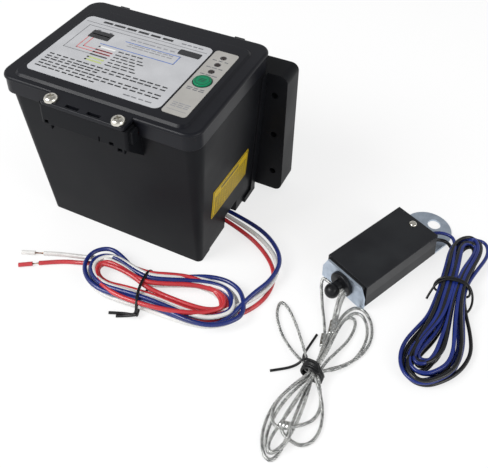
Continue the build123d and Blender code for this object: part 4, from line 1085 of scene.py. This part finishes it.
# ---------------------------------------------------------------------------------- switch leads
@dataclass
class SwitchLeads:
    """The switch's two leads, wound together into a tall tied coil."""

    maker: CordMaker
    lead_mm: float = 2.6
    bare_mm: float = 7.0
    copper_mm: float = 1.7
    copper_lay_mm: float = 12.0
    tie_mm: float = 1.6
    coil: TiedCoil = TiedCoil(
        outer=((227.0, 35.6), (227.9, 21.6), (228.1, 8.5), (228.5, -0.7), (228.2, -11.8), (227.5, -25.5),
               (223.5, -37), (219.8, -48.5), (219.3, -60.2), (223.5, -70.0), (231.6, -74.4), (240, -72.6),
               (247.2, -66), (253.3, -58.4), (256.2, -48.6), (255.4, -37.1), (251.9, -25.1), (247.9, -11.2),
               (245.9, 1.4), (245.7, 12.2), (247.3, 26), (249.6, 42.4), (247.8, 54.5), (240.8, 60.5),
               (233.6, 54.9), (228.4, 45.9)),
        inner=((235.9, 36.6), (237.0, 25.8), (237.6, 12.9), (237.6, 3.6), (238.0, -7.4), (238.8, -20.0),
               (238.0, -31.5), (234.6, -42.0), (230.0, -52.0), (228.6, -58.6), (230.8, -60.6),
               (234.2, -59.6), (237.2, -56.0), (239.2, -50.4), (239.6, -44.6), (239.4, -36.4),
               (239.6, -27.9), (239.2, -15.4), (238.5, -2.5), (238.2, 8.1), (238.8, 21.8), (240.9, 34.6),
               (242.4, 43.6), (240.8, 48.2), (237.8, 48.0), (235.9, 43.9)),
        tie=(237.1, 5.0), reach=58.0, floor=1.5, wander=0.13)

    def leads(self) -> list[CordSpec]:
        """Lay out the two leads.

        Returns:
            One specification a lead.
        """
        blue = [(205.9, 42.6, 7.0), (211.4, 49.4, 7.6), (221.5, 52.3, 8.2), (229, 48.5, 8.4)]
        blue_turns = [Turn(0.5, 9.3), Turn(0.04, 6.7, 0.02, ((19, 24, -0.72, 0.0),)),
                      Turn(0.84, 6.7, -0.05), Turn(0.2, 1.5, -0.02),
                      Turn(0.92, 9.3, 0.03, ((4, 9, -0.25, 0.0),)), Turn(0.32, 4.1, -0.03),
                      Turn(0.6, 1.5, 0.03)]
        blue += self.coil.wind(blue_turns, 1, 14, 0.9)
        black = [(210.4, 40.5, 7.0), (218, 48.5, 4.9), (227.0, 46.0, 4.6)]
        black_turns = [Turn(0.9, 4.1, 0.06), Turn(0.24, 9.3, 0.07, ((5, 11, 0.2, 0.0),)),
                       Turn(0.12, 4.1, 0.0, ((13, 19, -0.45, -1.0),)),
                       Turn(0.7, 9.3, -0.04, ((14, 20, 0.2, 0.0),)), Turn(0.9, 1.5),
                       Turn(0.5, 4.1, 0.04, ((5, 11, 0.4, 0.0),)), Turn(0.35, 1.5, -0.03)]
        black += self.coil.wind(black_turns, 1, 8, 2.7)
        return [
            CordSpec("switch_lead_blue", "lead_blue", "switch", blue, self.lead_mm, 1.75, "bare",
                     ("lead_blue", "lead_hank")),
            CordSpec("switch_lead_black", "wire_black", "switch", black, self.lead_mm, 1.75, "bare",
                     ("lead_black",)),
        ]

    def tie(self) -> Piece:
        """Coated tie wire round the coil, with a loop and two short ends."""
        route = [(222.5, -7.5, 2.2), (223.6, -3.0, 5.0), (226.0, 2.4, 9.8), (231, 6.4, 12.6),
                 (238.5, 8.2, 12.9), (245.2, 8.4, 11.6), (249.2, 7.2, 6.5), (248.0, 6.0, 1.2),
                 (237, 4.4, 1.0), (226.6, 2.8, 1.1), (224.0, 3.6, 5.0), (226.8, 6.6, 10.6),
                 (232, 8.4, 12.9), (239, 9.8, 13.0), (246, 9.8, 11.6), (250.6, 5.5, 8.4),
                 (252.2, -2.5, 5.6), (250.2, -9.5, 4.2), (247.0, -13.0, 4.4)]
        return self.maker.tie_wire("lead_tie_wire", "switch", "lead_tie", route, self.tie_mm)

    def build(self) -> None:
        """Make the leads."""
        blue, black = self.leads()
        blue.companions = [self.tie()]
        for spec in (blue, black):
            mesh = self.maker.bare_strands(spec.route, self.bare_mm, self.copper_mm, self.copper_lay_mm)
            spec.companions.append(add_piece(f"{spec.name}_end", mesh, "switch"))
            self.maker.cord(spec)


# ---------------------------------------------------------------------------------- lanyard
@dataclass
class Lanyard:
    """Vinyl-coated steel strand through the pin's eye, crimped back, looped up and tied."""

    maker: CordMaker
    strand_mm: float = 2.4
    sleeve_half_width_mm: float = 2.3
    sleeve_half_height_mm: float = 1.7
    sleeve_sides: int = 20
    tie_mm: float = 1.7
    eye: Point = (164.7, -32.9, 10.3)

    def route(self) -> list[Point]:
        """Control points of the whole lanyard, from the pin's eye to its far sleeve."""
        leg = [self.eye, (158.9, -30.2, 10.6), (153.4, -28.2, 10.2), (154.0, -32.6, 7.0),
               (157.2, -39.0, 4.2), (161.0, -47.0, 2.2), (166.0, -56.4, 1.6), (170.2, -66.5, 1.6),
               (172.4, -79, 1.8), (172.6, -92, 2.0)]
        lower_one = [(166.5, -105, 1.6), (160.3, -118, 1.4), (158.6, -132, 1.4), (160.6, -145, 1.4),
                     (165.8, -154.5, 1.4), (171.6, -156.8, 1.4), (174.6, -150, 1.4), (174.4, -138, 1.4),
                     (173.6, -122, 1.4), (173.4, -107, 1.8)]
        right_one = [(174.6, -96, 2.4), (180, -88.5, 1.6), (188.5, -81, 1.4), (196.2, -70, 1.4),
                     (199, -57, 1.4), (196, -44.5, 1.4), (188.6, -35.6, 1.4), (181, -34.8, 1.4),
                     (176, -43, 2.4), (174.2, -57, 3.6), (174, -73, 3.8), (174.3, -86, 4.2)]
        lower_two = [(173.2, -98, 4.4), (168, -109, 3.6), (163.4, -123, 2.6), (162.2, -138, 1.6),
                     (164.6, -149, 1.6), (169.6, -153.4, 1.6), (174, -147, 2.6), (176.4, -137, 3.0),
                     (176.6, -122, 3.0), (175.4, -107, 4.2)]
        upper_left = [(173, -95.5, 5.6), (168, -91, 4.6), (158.8, -78, 2.6), (149.6, -66, 1.5),
                      (139.5, -55.6, 1.4), (132.3, -53, 1.4), (133.4, -62.5, 1.4), (139.6, -72.5, 1.4),
                      (148, -81, 1.6), (158, -88, 3.0), (168, -93.5, 5.6)]
        right_low = [(175.5, -98.5, 6.2), (181.6, -105.5, 4.4), (187.6, -114.5, 1.6), (190.6, -126, 1.4),
                     (189.2, -135.6, 1.4), (183.6, -141.2, 1.6), (176, -141.6, 4.0), (169.6, -138.5, 4.4),
                     (168.6, -130, 4.4), (170.6, -117, 4.6), (173, -104, 5.8)]
        right_two = [(177, -93.5, 5.6), (184.6, -87.6, 3.2), (193, -76.5, 1.9), (196.2, -62, 2.2),
                     (194.5, -50, 2.6), (188.5, -41, 3.0), (182, -40.6, 3.2), (177.8, -49, 3.8),
                     (176.2, -60, 4.4), (175.8, -74, 5.4), (175.2, -86, 6.4)]
        lower_three = [(172.2, -98.5, 6.8), (165.2, -108.5, 3.8), (160.8, -121, 3.6), (160.6, -131.5, 3.6),
                       (165, -137.6, 4.0), (171.4, -138.2, 6.4), (178, -132.5, 5.0), (184, -125, 1.8),
                       (186.2, -116, 1.6), (183.2, -107, 2.6)]
        right_three = [(177.2, -98, 6.6), (177.8, -88, 6.4), (181.2, -75.5, 3.2), (185.2, -62.5, 1.6),
                       (186, -51, 1.4), (183.6, -44.5, 1.4), (179.6, -45.8, 2.6), (177.4, -53, 5.4),
                       (176.6, -66, 6.4), (176.6, -80, 7.0)]
        lower_four = [(174.6, -98, 8.0), (172.4, -111, 5.8), (170.4, -125, 4.2), (167.2, -139, 3.8),
                      (166.4, -149, 3.4), (170, -153.6, 3.6), (174.8, -148.6, 4.4), (177.4, -139.5, 6.4),
                      (174.6, -135.6, 7.6)]
        return (leg + lower_one + right_one + lower_two + upper_left + right_low + right_two + lower_three
                + right_three + lower_four)

    def sleeve(self, name: str, start: Point, end: Point, half_width: Optional[float] = None) -> Piece:
        """Crimped oval sleeve, with its two press marks.

        Args:
            name: The piece's name.
            start: One end of its axis, in millimetres.
            end: The other end.
            half_width: Half its width, if it is not the usual one.

        Returns:
            The piece.
        """
        half_width = half_width or self.sleeve_half_width_mm
        a, b = metres([start, end])
        along = (b - a).normalized()
        side = along.cross(Vector((0, 0, 1))).normalized()
        up = side.cross(along)
        profile = ((0.0, 0.80), (0.04, 1.0), (0.22, 1.0), (0.30, 0.78), (0.40, 0.78), (0.48, 1.0),
                   (0.56, 1.0), (0.64, 0.78), (0.74, 0.78), (0.80, 1.0), (0.96, 1.0), (1.0, 0.80))
        shell = bmesh.new()
        rings = []
        for share, full in profile:
            centre = a.lerp(b, share)
            ring = []
            for step in range(self.sleeve_sides):
                turn = math.tau * step / self.sleeve_sides
                sideways = side * (half_width * MM * math.cos(turn))
                upwards = up * (self.sleeve_half_height_mm * MM * full * math.sin(turn))
                ring.append(shell.verts.new(centre + sideways + upwards))
            rings.append(ring)
        for first, second in zip(rings, rings[1:]):
            bridge(shell, first, second)
        shell.faces.new(list(reversed(rings[0])))
        shell.faces.new(rings[-1])
        bmesh.ops.recalc_face_normals(shell, faces=shell.faces)
        mesh = bpy.data.meshes.new(name)
        shell.to_mesh(mesh)
        shell.free()
        mesh.materials.append(self.maker.paints.get("sleeve_alloy"))
        for polygon in mesh.polygons:
            polygon.use_smooth = len(polygon.vertices) == 4
        return add_piece(name, mesh, "pin")

    def tie(self) -> Piece:
        """Tie wire round the crossing, knotted at its left, with two tails."""
        route = [(164.8, -67, 1.2), (163.6, -76, 1.2), (162.8, -85, 2.4), (164.5, -91, 5.2),
                 (167.5, -94, 8.6), (173, -94.6, 10.6), (178.6, -95.4, 8.2)]
        for shift in (0.0, 2.1, 4.0):
            route += [(180.6, -95.6 - shift, 4.0), (178.4, -95.2 - shift, 1.1), (168.4, -94.2 - shift, 1.1),
                      (165.6, -93.8 - shift, 4.8), (168.0, -93.4 - shift, 9.2), (173, -94.0 - shift, 10.8),
                      (178.4, -94.8 - shift, 8.8)]
        route += [(176, -92.6, 10.8), (169, -91.2, 9.0), (164.6, -90.4, 6.2), (162.6, -93.6, 3.4),
                  (158.4, -97, 1.4), (152.8, -101, 1.1), (147.7, -104.5, 1.0)]
        return self.maker.tie_wire("lanyard_tie_wire", "pin", "lanyard_tie", route, self.tie_mm)

    def build(self) -> None:
        """Make the lanyard."""
        main_sleeve = self.sleeve("lanyard_sleeve_main", (169.4, -65.0, 1.9), (171.6, -74.2, 1.9))
        eye_sleeve = self.sleeve("lanyard_sleeve_eye", (171.3, -54.4, 4.1), (173.0, -64.4, 3.4), 2.0)
        side_sleeve = self.sleeve("lanyard_sleeve_side", (173.3, -55.4, 4.0), (174.9, -63.4, 3.4), 1.9)
        far_sleeve = self.sleeve("lanyard_sleeve_far", (174.6, -135.6, 7.6), (168.6, -136.6, 7.4))
        back = [self.eye, (167.4, -34.2, 10.6), (169.6, -35.0, 12.4), (170.9, -36.4, 15.4),
                (170.6, -39.4, 15.8), (169.8, -42.6, 10.8), (170.4, -48.4, 5.8), (171.4, -54.8, 4.2),
                (172.9, -63, 3.4), (173.4, -72, 5.0), (173.8, -84, 6.4), (173.6, -92, 6.8)]
        beside = [self.eye, (167.8, -34.6, 10.0), (171.2, -36.0, 11.6), (173.2, -37.6, 14.6),
                  (173.0, -40.6, 15.0), (172.2, -43.8, 10.2), (172.5, -49.0, 5.6), (173.3, -55.2, 4.1),
                  (174.4, -60.5, 3.4)]
        spec = CordSpec("lanyard_strand", "lanyard_vinyl", "pin", self.route(), self.strand_mm, 1.1,
                        "fitting", ("lanyard_leg_left", "lanyard_hank"), stiffness="medium", twisted=True,
                        companions=[main_sleeve, far_sleeve, self.tie()])
        self.maker.cord(spec)
        eye_spec = CordSpec("lanyard_return", "lanyard_vinyl", "pin", back, self.strand_mm, 0.07, "fitting",
                            ("lanyard_leg_right",), lay="loose", stiffness="medium", twisted=True,
                            companions=[eye_sleeve])
        self.maker.cord(eye_spec)
        beside_spec = CordSpec("lanyard_hitch", "lanyard_vinyl", "pin", beside, self.strand_mm, 0.04,
                               "fitting", (), lay="loose", stiffness="medium", twisted=True,
                               companions=[side_sleeve])
        self.maker.cord(beside_spec)


# ---------------------------------------------------------------------------------- printed labels
@dataclass(frozen=True)
class Sheet:
    """A label's own flat frame: its lower left corner and its two directions, in metres."""

    corner: Vector
    across: Vector
    upward: Vector

    @classmethod
    def level(cls, corner: Sequence[float]) -> "Sheet":
        """A sheet that lies level, squared to the case, with this corner."""
        return cls(Vector(corner), Vector((1, 0, 0)), Vector((0, 1, 0)))

    def point(self, u: float, v: float, lift: float) -> Vector:
        """A place on the sheet.

        Args:
            u: Millimetres across.
            v: Millimetres up the sheet.
            lift: Millimetres off its face.

        Returns:
            The place in metres.
        """
        normal = self.across.cross(self.upward)
        return self.corner + (self.across * u + self.upward * v + normal * lift) * MM


class Press:
    """Lays ink on a sheet as thin closed slabs, one piece for each ink."""

    INK_MM = 0.05
    CORNER_STEPS = 4

    def __init__(self, sheet: Sheet, name: str, body: str, slot: str, maker: CordMaker) -> None:
        """Start with a clean sheet.

        Args:
            sheet: Where the print goes.
            name: First part of the pieces' names.
            body: The body that the label rides on.
            slot: The label's material slot; not used.
            maker: Holds the Geometry Nodes trees and the finishes.
        """
        self.sheet, self.name, self.body, self.slot, self.maker = sheet, name, body, slot, maker
        self.inks: dict[str, bmesh.types.BMesh] = {}

    def ink(self, name: str) -> bmesh.types.BMesh:
        """The mesh that collects one ink."""
        return self.inks.setdefault(name, bmesh.new())

    def slab(self, ink: str, outline: Sequence[tuple[float, float]]) -> None:
        """Print a filled outline.

        Args:
            ink: The ink's name.
            outline: Its corners, counterclockwise, in the sheet's millimetres.
        """
        mesh = self.ink(ink)
        low = [mesh.verts.new(self.sheet.point(u, v, 0.0)) for u, v in outline]
        high = [mesh.verts.new(self.sheet.point(u, v, self.INK_MM)) for u, v in outline]
        mesh.faces.new(high)
        mesh.faces.new(list(reversed(low)))
        bridge(mesh, low, high)

    def box(self, ink: str, u0: float, v0: float, u1: float, v1: float, corner: float = 0.0) -> None:
        """Print a rectangle, its corners rounded if a radius is given.

        Args:
            ink: The ink's name.
            u0: Left.
            v0: Bottom.
            u1: Right.
            v1: Top.
            corner: Corner radius.
        """
        if corner <= 0:
            self.slab(ink, [(u0, v0), (u1, v0), (u1, v1), (u0, v1)])
            return
        left, right, bottom, top = u0 + corner, u1 - corner, v0 + corner, v1 - corner
        outline = []
        for cu, cv, start in ((right, bottom, -90), (right, top, 0), (left, top, 90), (left, bottom, 180)):
            for step in range(self.CORNER_STEPS + 1):
                turn = math.radians(start + 90 * step / self.CORNER_STEPS)
                outline.append((cu + corner * math.cos(turn), cv + corner * math.sin(turn)))
        self.slab(ink, outline)

    def rule(self, ink: str, points: Sequence[tuple[float, float]], width: float) -> None:
        """Print a line of upright and level runs.

        Args:
            ink: The ink's name.
            points: Its corners.
            width: Its width.
        """
        half = width / 2
        for (u0, v0), (u1, v1) in zip(points, points[1:]):
            self.box(ink, min(u0, u1) - half, min(v0, v1) - half, max(u0, u1) + half, max(v0, v1) + half)

    def ring(self, ink: str, u: float, v: float, inner: float, outer: float, sides: int = 40) -> None:
        """Print a ring.

        Args:
            ink: The ink's name.
            u: Centre across.
            v: Centre up.
            inner: Inner radius.
            outer: Outer radius.
            sides: Faces round it.
        """
        mesh = self.ink(ink)
        loops = []
        for radius, lift in ((inner, 0.0), (inner, self.INK_MM), (outer, self.INK_MM), (outer, 0.0)):
            loop = []
            for step in range(sides):
                turn = math.tau * step / sides
                place = self.sheet.point(u + radius * math.cos(turn), v + radius * math.sin(turn), lift)
                loop.append(mesh.verts.new(place))
            loops.append(loop)
        for first, second in zip(loops, loops[1:] + loops[:1]):
            bridge(mesh, second, first)

    def words(self, ink: str, u0: float, v0: float, width: float, rows: int, pitch: float, bar: float,
              seed: int, words: int) -> None:
        """Print rows of small bars that stand for unreadable print.

        Args:
            ink: The ink's name.
            u0: Left end.
            v0: Middle of the lowest row.
            width: Length of a row.
            rows: Number of rows.
            pitch: Row to row.
            bar: Height of a bar.
            seed: Seed of the bars' lengths.
            words: Bars in a row.
        """
        grower = self.maker.grower
        values = {"Width": width * (words - 1) / words * MM, "Cell": width / words * MM, "Rows": rows,
                  "Pitch": pitch * MM, "Words": words,
                  "Bar Height": bar * MM, "Ink": self.INK_MM * MM, "Seed": seed,
                  "Material": self.maker.paints.get(ink)}
        printed = grower.run(grower.word_tree, bpy.data.meshes.new("blank"), values)
        middle = self.sheet.point(u0 + width / 2, v0 + pitch * (rows - 1) / 2, self.INK_MM / 2)
        normal = self.sheet.across.cross(self.sheet.upward)
        turn = Matrix((self.sheet.across, self.sheet.upward, normal)).transposed().to_4x4()
        printed.transform(Matrix.Translation(middle) @ turn)
        self.ink(ink).from_mesh(printed)

    def pull(self) -> None:
        """Turn every ink into its piece."""
        for ink, collected in self.inks.items():
            mesh = bpy.data.meshes.new(ink)
            collected.to_mesh(mesh)
            collected.free()
            mesh.materials.clear()
            mesh.materials.append(self.maker.paints.get(ink))
            add_piece(f"{self.name}_{ink}", mesh, self.body)


@dataclass
class LidPrint:
    """Wiring sketch, small print and coloured keys on the lid's two labels, and the button's own print.

    Rings are given as their inner and outer radius, in millimetres.
    """

    maker: CordMaker
    button_ring: tuple[float, float] = (6.5, 7.0)
    window_ring: tuple[float, float] = (2.2, 2.5)
    cap_ring: tuple[float, float] = (4.7, 5.2)
    cap_half_bar: float = 2.6
    cap_pitch: float = 1.5

    def main_label(self) -> None:
        """Print the wide label: rule, wiring sketch, colour key and rows of small print."""
        low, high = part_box("main_label")
        sheet = Sheet.level((low[0], low[1], high[2]))
        press = Press(sheet, "main_print", "lid", "label_silver", self.maker)
        width = (high[0] - low[0]) / MM
        press.box("ink_grey", 2.5, 69.0, width - 2.5, 69.5)
        press.words("ink_black", 14, 72.9, 62, 1, 3, 2.3, 5, 6)
        press.words("ink_grey", 82, 72.9, 18, 1, 3, 1.1, 6, 4)
        press.rule("ink_grey", [(85, 65.2), (7.75, 65.2), (7.75, 33.4), (45, 33.4)], 0.55)
        press.rule("ink_blue", [(45, 57.4), (90, 57.4), (90, 47.4), (30, 47.4)], 0.8)
        press.rule("ink_red", [(16.5, 51.6), (16.5, 36.7), (45, 36.7)], 0.8)
        press.rule("ink_red", [(20.5, 51.6), (20.5, 39.9), (45, 39.9)], 0.8)
        press.box("ink_black", 85.4, 60.2, 103.0, 66.6, 1.2)
        press.box("ink_black", 15.2, 51.6, 32.8, 61.2, 0.6)
        press.box("ink_grey", 16.6, 56.0, 31.4, 57.0)
        press.box("ink_grey", 17.6, 61.2, 20.2, 62.4)
        press.box("ink_grey", 27.8, 61.2, 30.4, 62.4)
        press.words("ink_faint", 46, 61.2, 38, 1, 3, 1.3, 9, 7)
        press.words("ink_faint", 48, 53.0, 38, 2, 2.6, 1.0, 11, 8)
        keys = (("ink_white", 43.9), ("ink_red", 39.9), ("ink_red", 36.7), ("ink_grey", 33.4),
                ("ink_green", 29.9), ("ink_green", 26.7))
        for row, (ink, v) in enumerate(keys):
            press.box(ink, 31.9, v - 0.8, 45.0, v + 0.8, 0.7)
            press.box("ink_black", 30.7, v - 0.75, 32.4, v + 0.75, 0.5)
            press.words("ink_black", 47.2, v, 21.0 + 2.5 * (row % 3), 1, 3, 1.1, 20 + row, 4)
        press.words("ink_black", 3.9, 18.9, 98, 2, 3.2, 1.25, 31, 17)
        press.words("ink_black", 3.9, 16.2, 46, 1, 3.2, 1.25, 33, 8)
        press.words("ink_black", 3.9, 9.6, 98, 2, 3.2, 1.25, 35, 17)
        press.words("ink_black", 3.9, 6.4, 50, 1, 3.2, 1.25, 37, 9)
        press.words("ink_grey", 78, 4.0, 22, 1, 3.2, 1.0, 39, 4)
        press.pull()

    def tester_label(self) -> None:
        """Print the narrow label: a ring round each window and the button, with short captions."""
        low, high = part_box("tester_label")
        sheet = Sheet.level((low[0], low[1], high[2]))
        press = Press(sheet, "tester_print", "lid", "label_grey", self.maker)
        button_low, button_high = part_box("test_button")
        middle = ((button_low[0] + button_high[0]) / 2 - low[0]) / MM
        button_v = ((button_low[1] + button_high[1]) / 2 - low[1]) / MM
        press.ring("ink_black", middle, button_v, *self.button_ring, sides=48)
        for index, y in enumerate(window_rows()):
            v = (y - low[1]) / MM
            press.ring("ink_grey", middle, v, *self.window_ring)
            press.words("ink_grey", 2.2, v - 4.3, 13.6, 1, 2, 0.9, 50 + index, 3)
        press.words("ink_grey", 2.2, button_v - 10.6, 13.8, 2, 1.9, 1.0, 57, 3)
        press.box("ink_faint", 2.2, 4.2, 16.0, 4.6)
        press.words("ink_faint", 2.2, 8.0, 13.8, 3, 1.9, 0.8, 61, 3)
        press.pull()

    def button(self) -> None:
        """Print a thin ring and three short bars on the button's face."""
        low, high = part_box("test_button")
        sheet = Sheet.level(((low[0] + high[0]) / 2, (low[1] + high[1]) / 2, high[2]))
        press = Press(sheet, "button_print", "test_button", "button_green", self.maker)
        press.ring("ink_pine", 0.0, 0.0, *self.cap_ring)
        for v in (-self.cap_pitch, 0.0, self.cap_pitch):
            press.box("ink_pine", -self.cap_half_bar, v - 0.35, self.cap_half_bar, v + 0.35, 0.3)
        press.pull()

    def build(self) -> None:
        """Print both labels and the button."""
        self.main_label()
        self.tester_label()
        self.button()


LENS_RADIUS_MM = 2.9


def window_rows() -> list[float]:
    """Places of the three light windows along Y, from their lenses' common box."""
    low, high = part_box("led_lenses")
    radius = LENS_RADIUS_MM * MM
    first, last = low[1] + radius, high[1] - radius
    return [first + (last - first) * i / 2 for i in range(3)]


@dataclass
class SidePrint:
    """Rows of small print on the yellow label, which leans with the case's right wall."""

    maker: CordMaker
    width_mm: float = 56.0
    height_mm: float = 26.0
    turn_deg: float = -2.9
    wall_slope: float = 0.082
    label_mm: float = 0.25

    def build(self) -> None:
        """Print the label."""
        low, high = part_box("side_label")
        normal = Vector((1, 0, -self.wall_slope)).normalized()
        level = Vector((0, 1, 0))
        turn = Matrix.Rotation(math.radians(self.turn_deg), 3, normal)
        across = turn @ level
        upward = normal.cross(across)
        middle = (Vector(low) + Vector(high)) / 2 + normal * (self.label_mm / 2 * MM)
        corner = middle - (across * self.width_mm + upward * self.height_mm) * (MM / 2)
        press = Press(Sheet(corner, across, upward), "side_print", "case", "label_yellow", self.maker)
        press.rule("ink_olive", [(1.3, 1.3), (54.7, 1.3), (54.7, 24.7), (1.3, 24.7), (1.3, 1.3)], 0.7)
        press.box("ink_olive", 12.0, 20.4, 40.0, 22.8, 0.4)
        press.words("ink_olive", 3.2, 3.4, 50.0, 7, 2.35, 1.2, 71, 12)
        press.pull()


# ---------------------------------------------------------------------------------- studio
@dataclass
class Studio:
    """Camera, lamps, world and floor."""

    lens_mm: float = 54.595328
    shift_up: float = -0.34752049
    azimuth_deg: float = 26.18
    elevation_deg: float = 34.69
    camera_mm: Point = (254.36, -358.74, 427.56)
    sensor_mm: float = 36.0
    floor_m: float = 3.0
    floor_glow: float = 0.72
    overhead: float = 0.3
    soft_fill: float = 0.6

    def camera(self) -> None:
        """Place the camera."""
        az, el = math.radians(self.azimuth_deg), math.radians(self.elevation_deg)
        back = Vector((math.sin(az) * math.cos(el), -math.cos(az) * math.cos(el), math.sin(el)))
        right = Vector((math.cos(az), math.sin(az), 0))
        up = back.cross(right)
        data = bpy.data.cameras.new("camera")
        data.sensor_width = self.sensor_mm
        data.lens = self.lens_mm
        data.shift_y = self.shift_up
        data.clip_start, data.clip_end = 0.01, 20.0
        holder = bpy.data.objects.new("camera", data)
        facing = Matrix((right, up, back)).transposed().to_4x4()
        holder.matrix_world = Matrix.Translation(Vector(self.camera_mm) * MM) @ facing
        bpy.context.scene.collection.objects.link(holder)
        bpy.context.scene.camera = holder

    def lamp(self, name: str, at: Point, aim: Point, size: float, watts: float) -> None:
        """Add a soft square lamp.

        Args:
            name: Its name.
            at: Its place, in metres.
            aim: What it points at.
            size: Its side, in metres.
            watts: Its power.
        """
        data = bpy.data.lights.new(name, "AREA")
        data.size = size
        data.energy = watts
        holder = bpy.data.objects.new(name, data)
        direction = Vector(aim) - Vector(at)
        facing = direction.to_track_quat("-Z", "Y").to_matrix().to_4x4()
        holder.matrix_world = Matrix.Translation(Vector(at)) @ facing
        bpy.context.scene.collection.objects.link(holder)

    def lamps(self) -> None:
        """Key from the front left and above, and a weak fill from the right."""
        self.lamp("key", (-0.75, -0.95, 1.25), (0.05, -0.03, 0.06), 0.9, 24.0)
        self.lamp("fill", (1.25, -0.25, 0.6), (0.1, 0.0, 0.05), 0.7, 5.0)

    def seen_directly(self, tree: Tree, others: bool) -> Socket:
        """One where a ray comes from the camera, and also from gloss and glass if asked.

        Args:
            tree: The node tree.
            others: Whether glossy and transmission rays count.

        Returns:
            The mask.
        """
        path = add_node(tree, "ShaderNodeLightPath")
        mask = path.outputs["Is Camera Ray"]
        for name in ("Is Glossy Ray", "Is Transmission Ray") if others else ():
            mask = add_node(tree, "ShaderNodeMath", {0: mask, 1: path.outputs[name]},
                            operation="MAXIMUM").outputs[0]
        return mask

    def world(self) -> None:
        """White where it is seen; in gloss, white at the horizon and dimmer overhead; else a soft fill."""
        world = bpy.data.worlds.new("studio")
        world.use_nodes = True
        tree = world.node_tree
        tree.nodes.clear()
        facing = add_node(tree, "ShaderNodeTexCoord").outputs["Generated"]
        height = add_node(tree, "ShaderNodeSeparateXYZ", {0: facing}).outputs["Z"]
        dimming = {"Value": height, "From Min": 0.05, "From Max": 0.85, "To Min": 0.95,
                   "To Max": self.overhead}
        level = add_node(tree, "ShaderNodeMapRange", dimming).outputs["Result"]
        colour = linear("#ffffff")
        soft = add_node(tree, "ShaderNodeBackground", {"Color": colour, "Strength": self.soft_fill})
        mirrored = add_node(tree, "ShaderNodeBackground", {"Color": colour, "Strength": level})
        white = add_node(tree, "ShaderNodeBackground", {"Color": colour, "Strength": 1.0})
        in_gloss = {0: self.seen_directly(tree, True), 1: soft.outputs[0], 2: mirrored.outputs[0]}
        gloss = add_node(tree, "ShaderNodeMixShader", in_gloss)
        in_view = {0: self.seen_directly(tree, False), 1: gloss.outputs[0], 2: white.outputs[0]}
        seen = add_node(tree, "ShaderNodeMixShader", in_view)
        add_node(tree, "ShaderNodeOutputWorld", {"Surface": seen.outputs[0]})
        bpy.context.scene.world = world

    def floor(self) -> None:
        """Matt white floor that reads as plain white and still takes a soft shadow."""
        half = self.floor_m / 2
        sheet = bmesh.new()
        bmesh.ops.create_grid(sheet, x_segments=1, y_segments=1, size=half)
        mesh = bpy.data.meshes.new("floor")
        sheet.to_mesh(mesh)
        sheet.free()
        material = bpy.data.materials.new("Matt white paper")
        material.use_nodes = True
        tree = material.node_tree
        tree.nodes.clear()
        paper = add_node(tree, "ShaderNodeBsdfDiffuse", {"Color": linear("#f4f4f4")})
        glow = add_node(tree, "ShaderNodeEmission", {"Color": linear("#ffffff"), "Strength": 1.0})
        seen = self.seen_directly(tree, True)
        share = add_node(tree, "ShaderNodeMath", {0: seen, 1: self.floor_glow}, operation="MULTIPLY")
        mix = add_node(tree, "ShaderNodeMixShader",
                       {0: share.outputs[0], 1: paper.outputs[0], 2: glow.outputs[0]})
        add_node(tree, "ShaderNodeOutputMaterial", {"Surface": mix.outputs[0]})
        mesh.materials.append(material)
        holder = bpy.data.objects.new("floor", mesh)
        bpy.context.scene.collection.objects.link(holder)

    def build(self) -> None:
        """Set up the whole studio."""
        bpy.context.scene.view_settings.view_transform = "Standard"
        self.camera()
        self.world()
        self.lamps()
        self.floor()


# ---------------------------------------------------------------------------------- the CAD nodes
def dress_cad(record: dict, paints: Paintbox) -> None:
    """Give every CAD node the finish of its material slot.

    Args:
        record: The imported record.
        paints: The finishes.
    """
    for subpart in record["subparts"]:
        node = bpy.data.objects[subpart["node"]]
        material = paints.get(subpart["material_slot"])
        if not node.material_slots:
            node.data.materials.append(material)
        for slot in node.material_slots:
            slot.material = material
        LOG.info("dressed %s in %s", subpart["node"], material.name)


def main(record: dict) -> None:
    """Build the studio and every sub-assembly.

    Args:
        record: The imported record.
    """
    logging.basicConfig(level=logging.INFO, format="%(name)s: %(message)s")
    Studio().build()
    paints = Paintbox()
    dress_cad(record, paints)
    maker = CordMaker(Grower(), paints)
    Harness(maker).build()
    SwitchLeads(maker).build()
    Lanyard(maker).build()
    LidPrint(maker).build()
    SidePrint(maker).build()


if __name__ == "__main__":
    main(frame["record"])
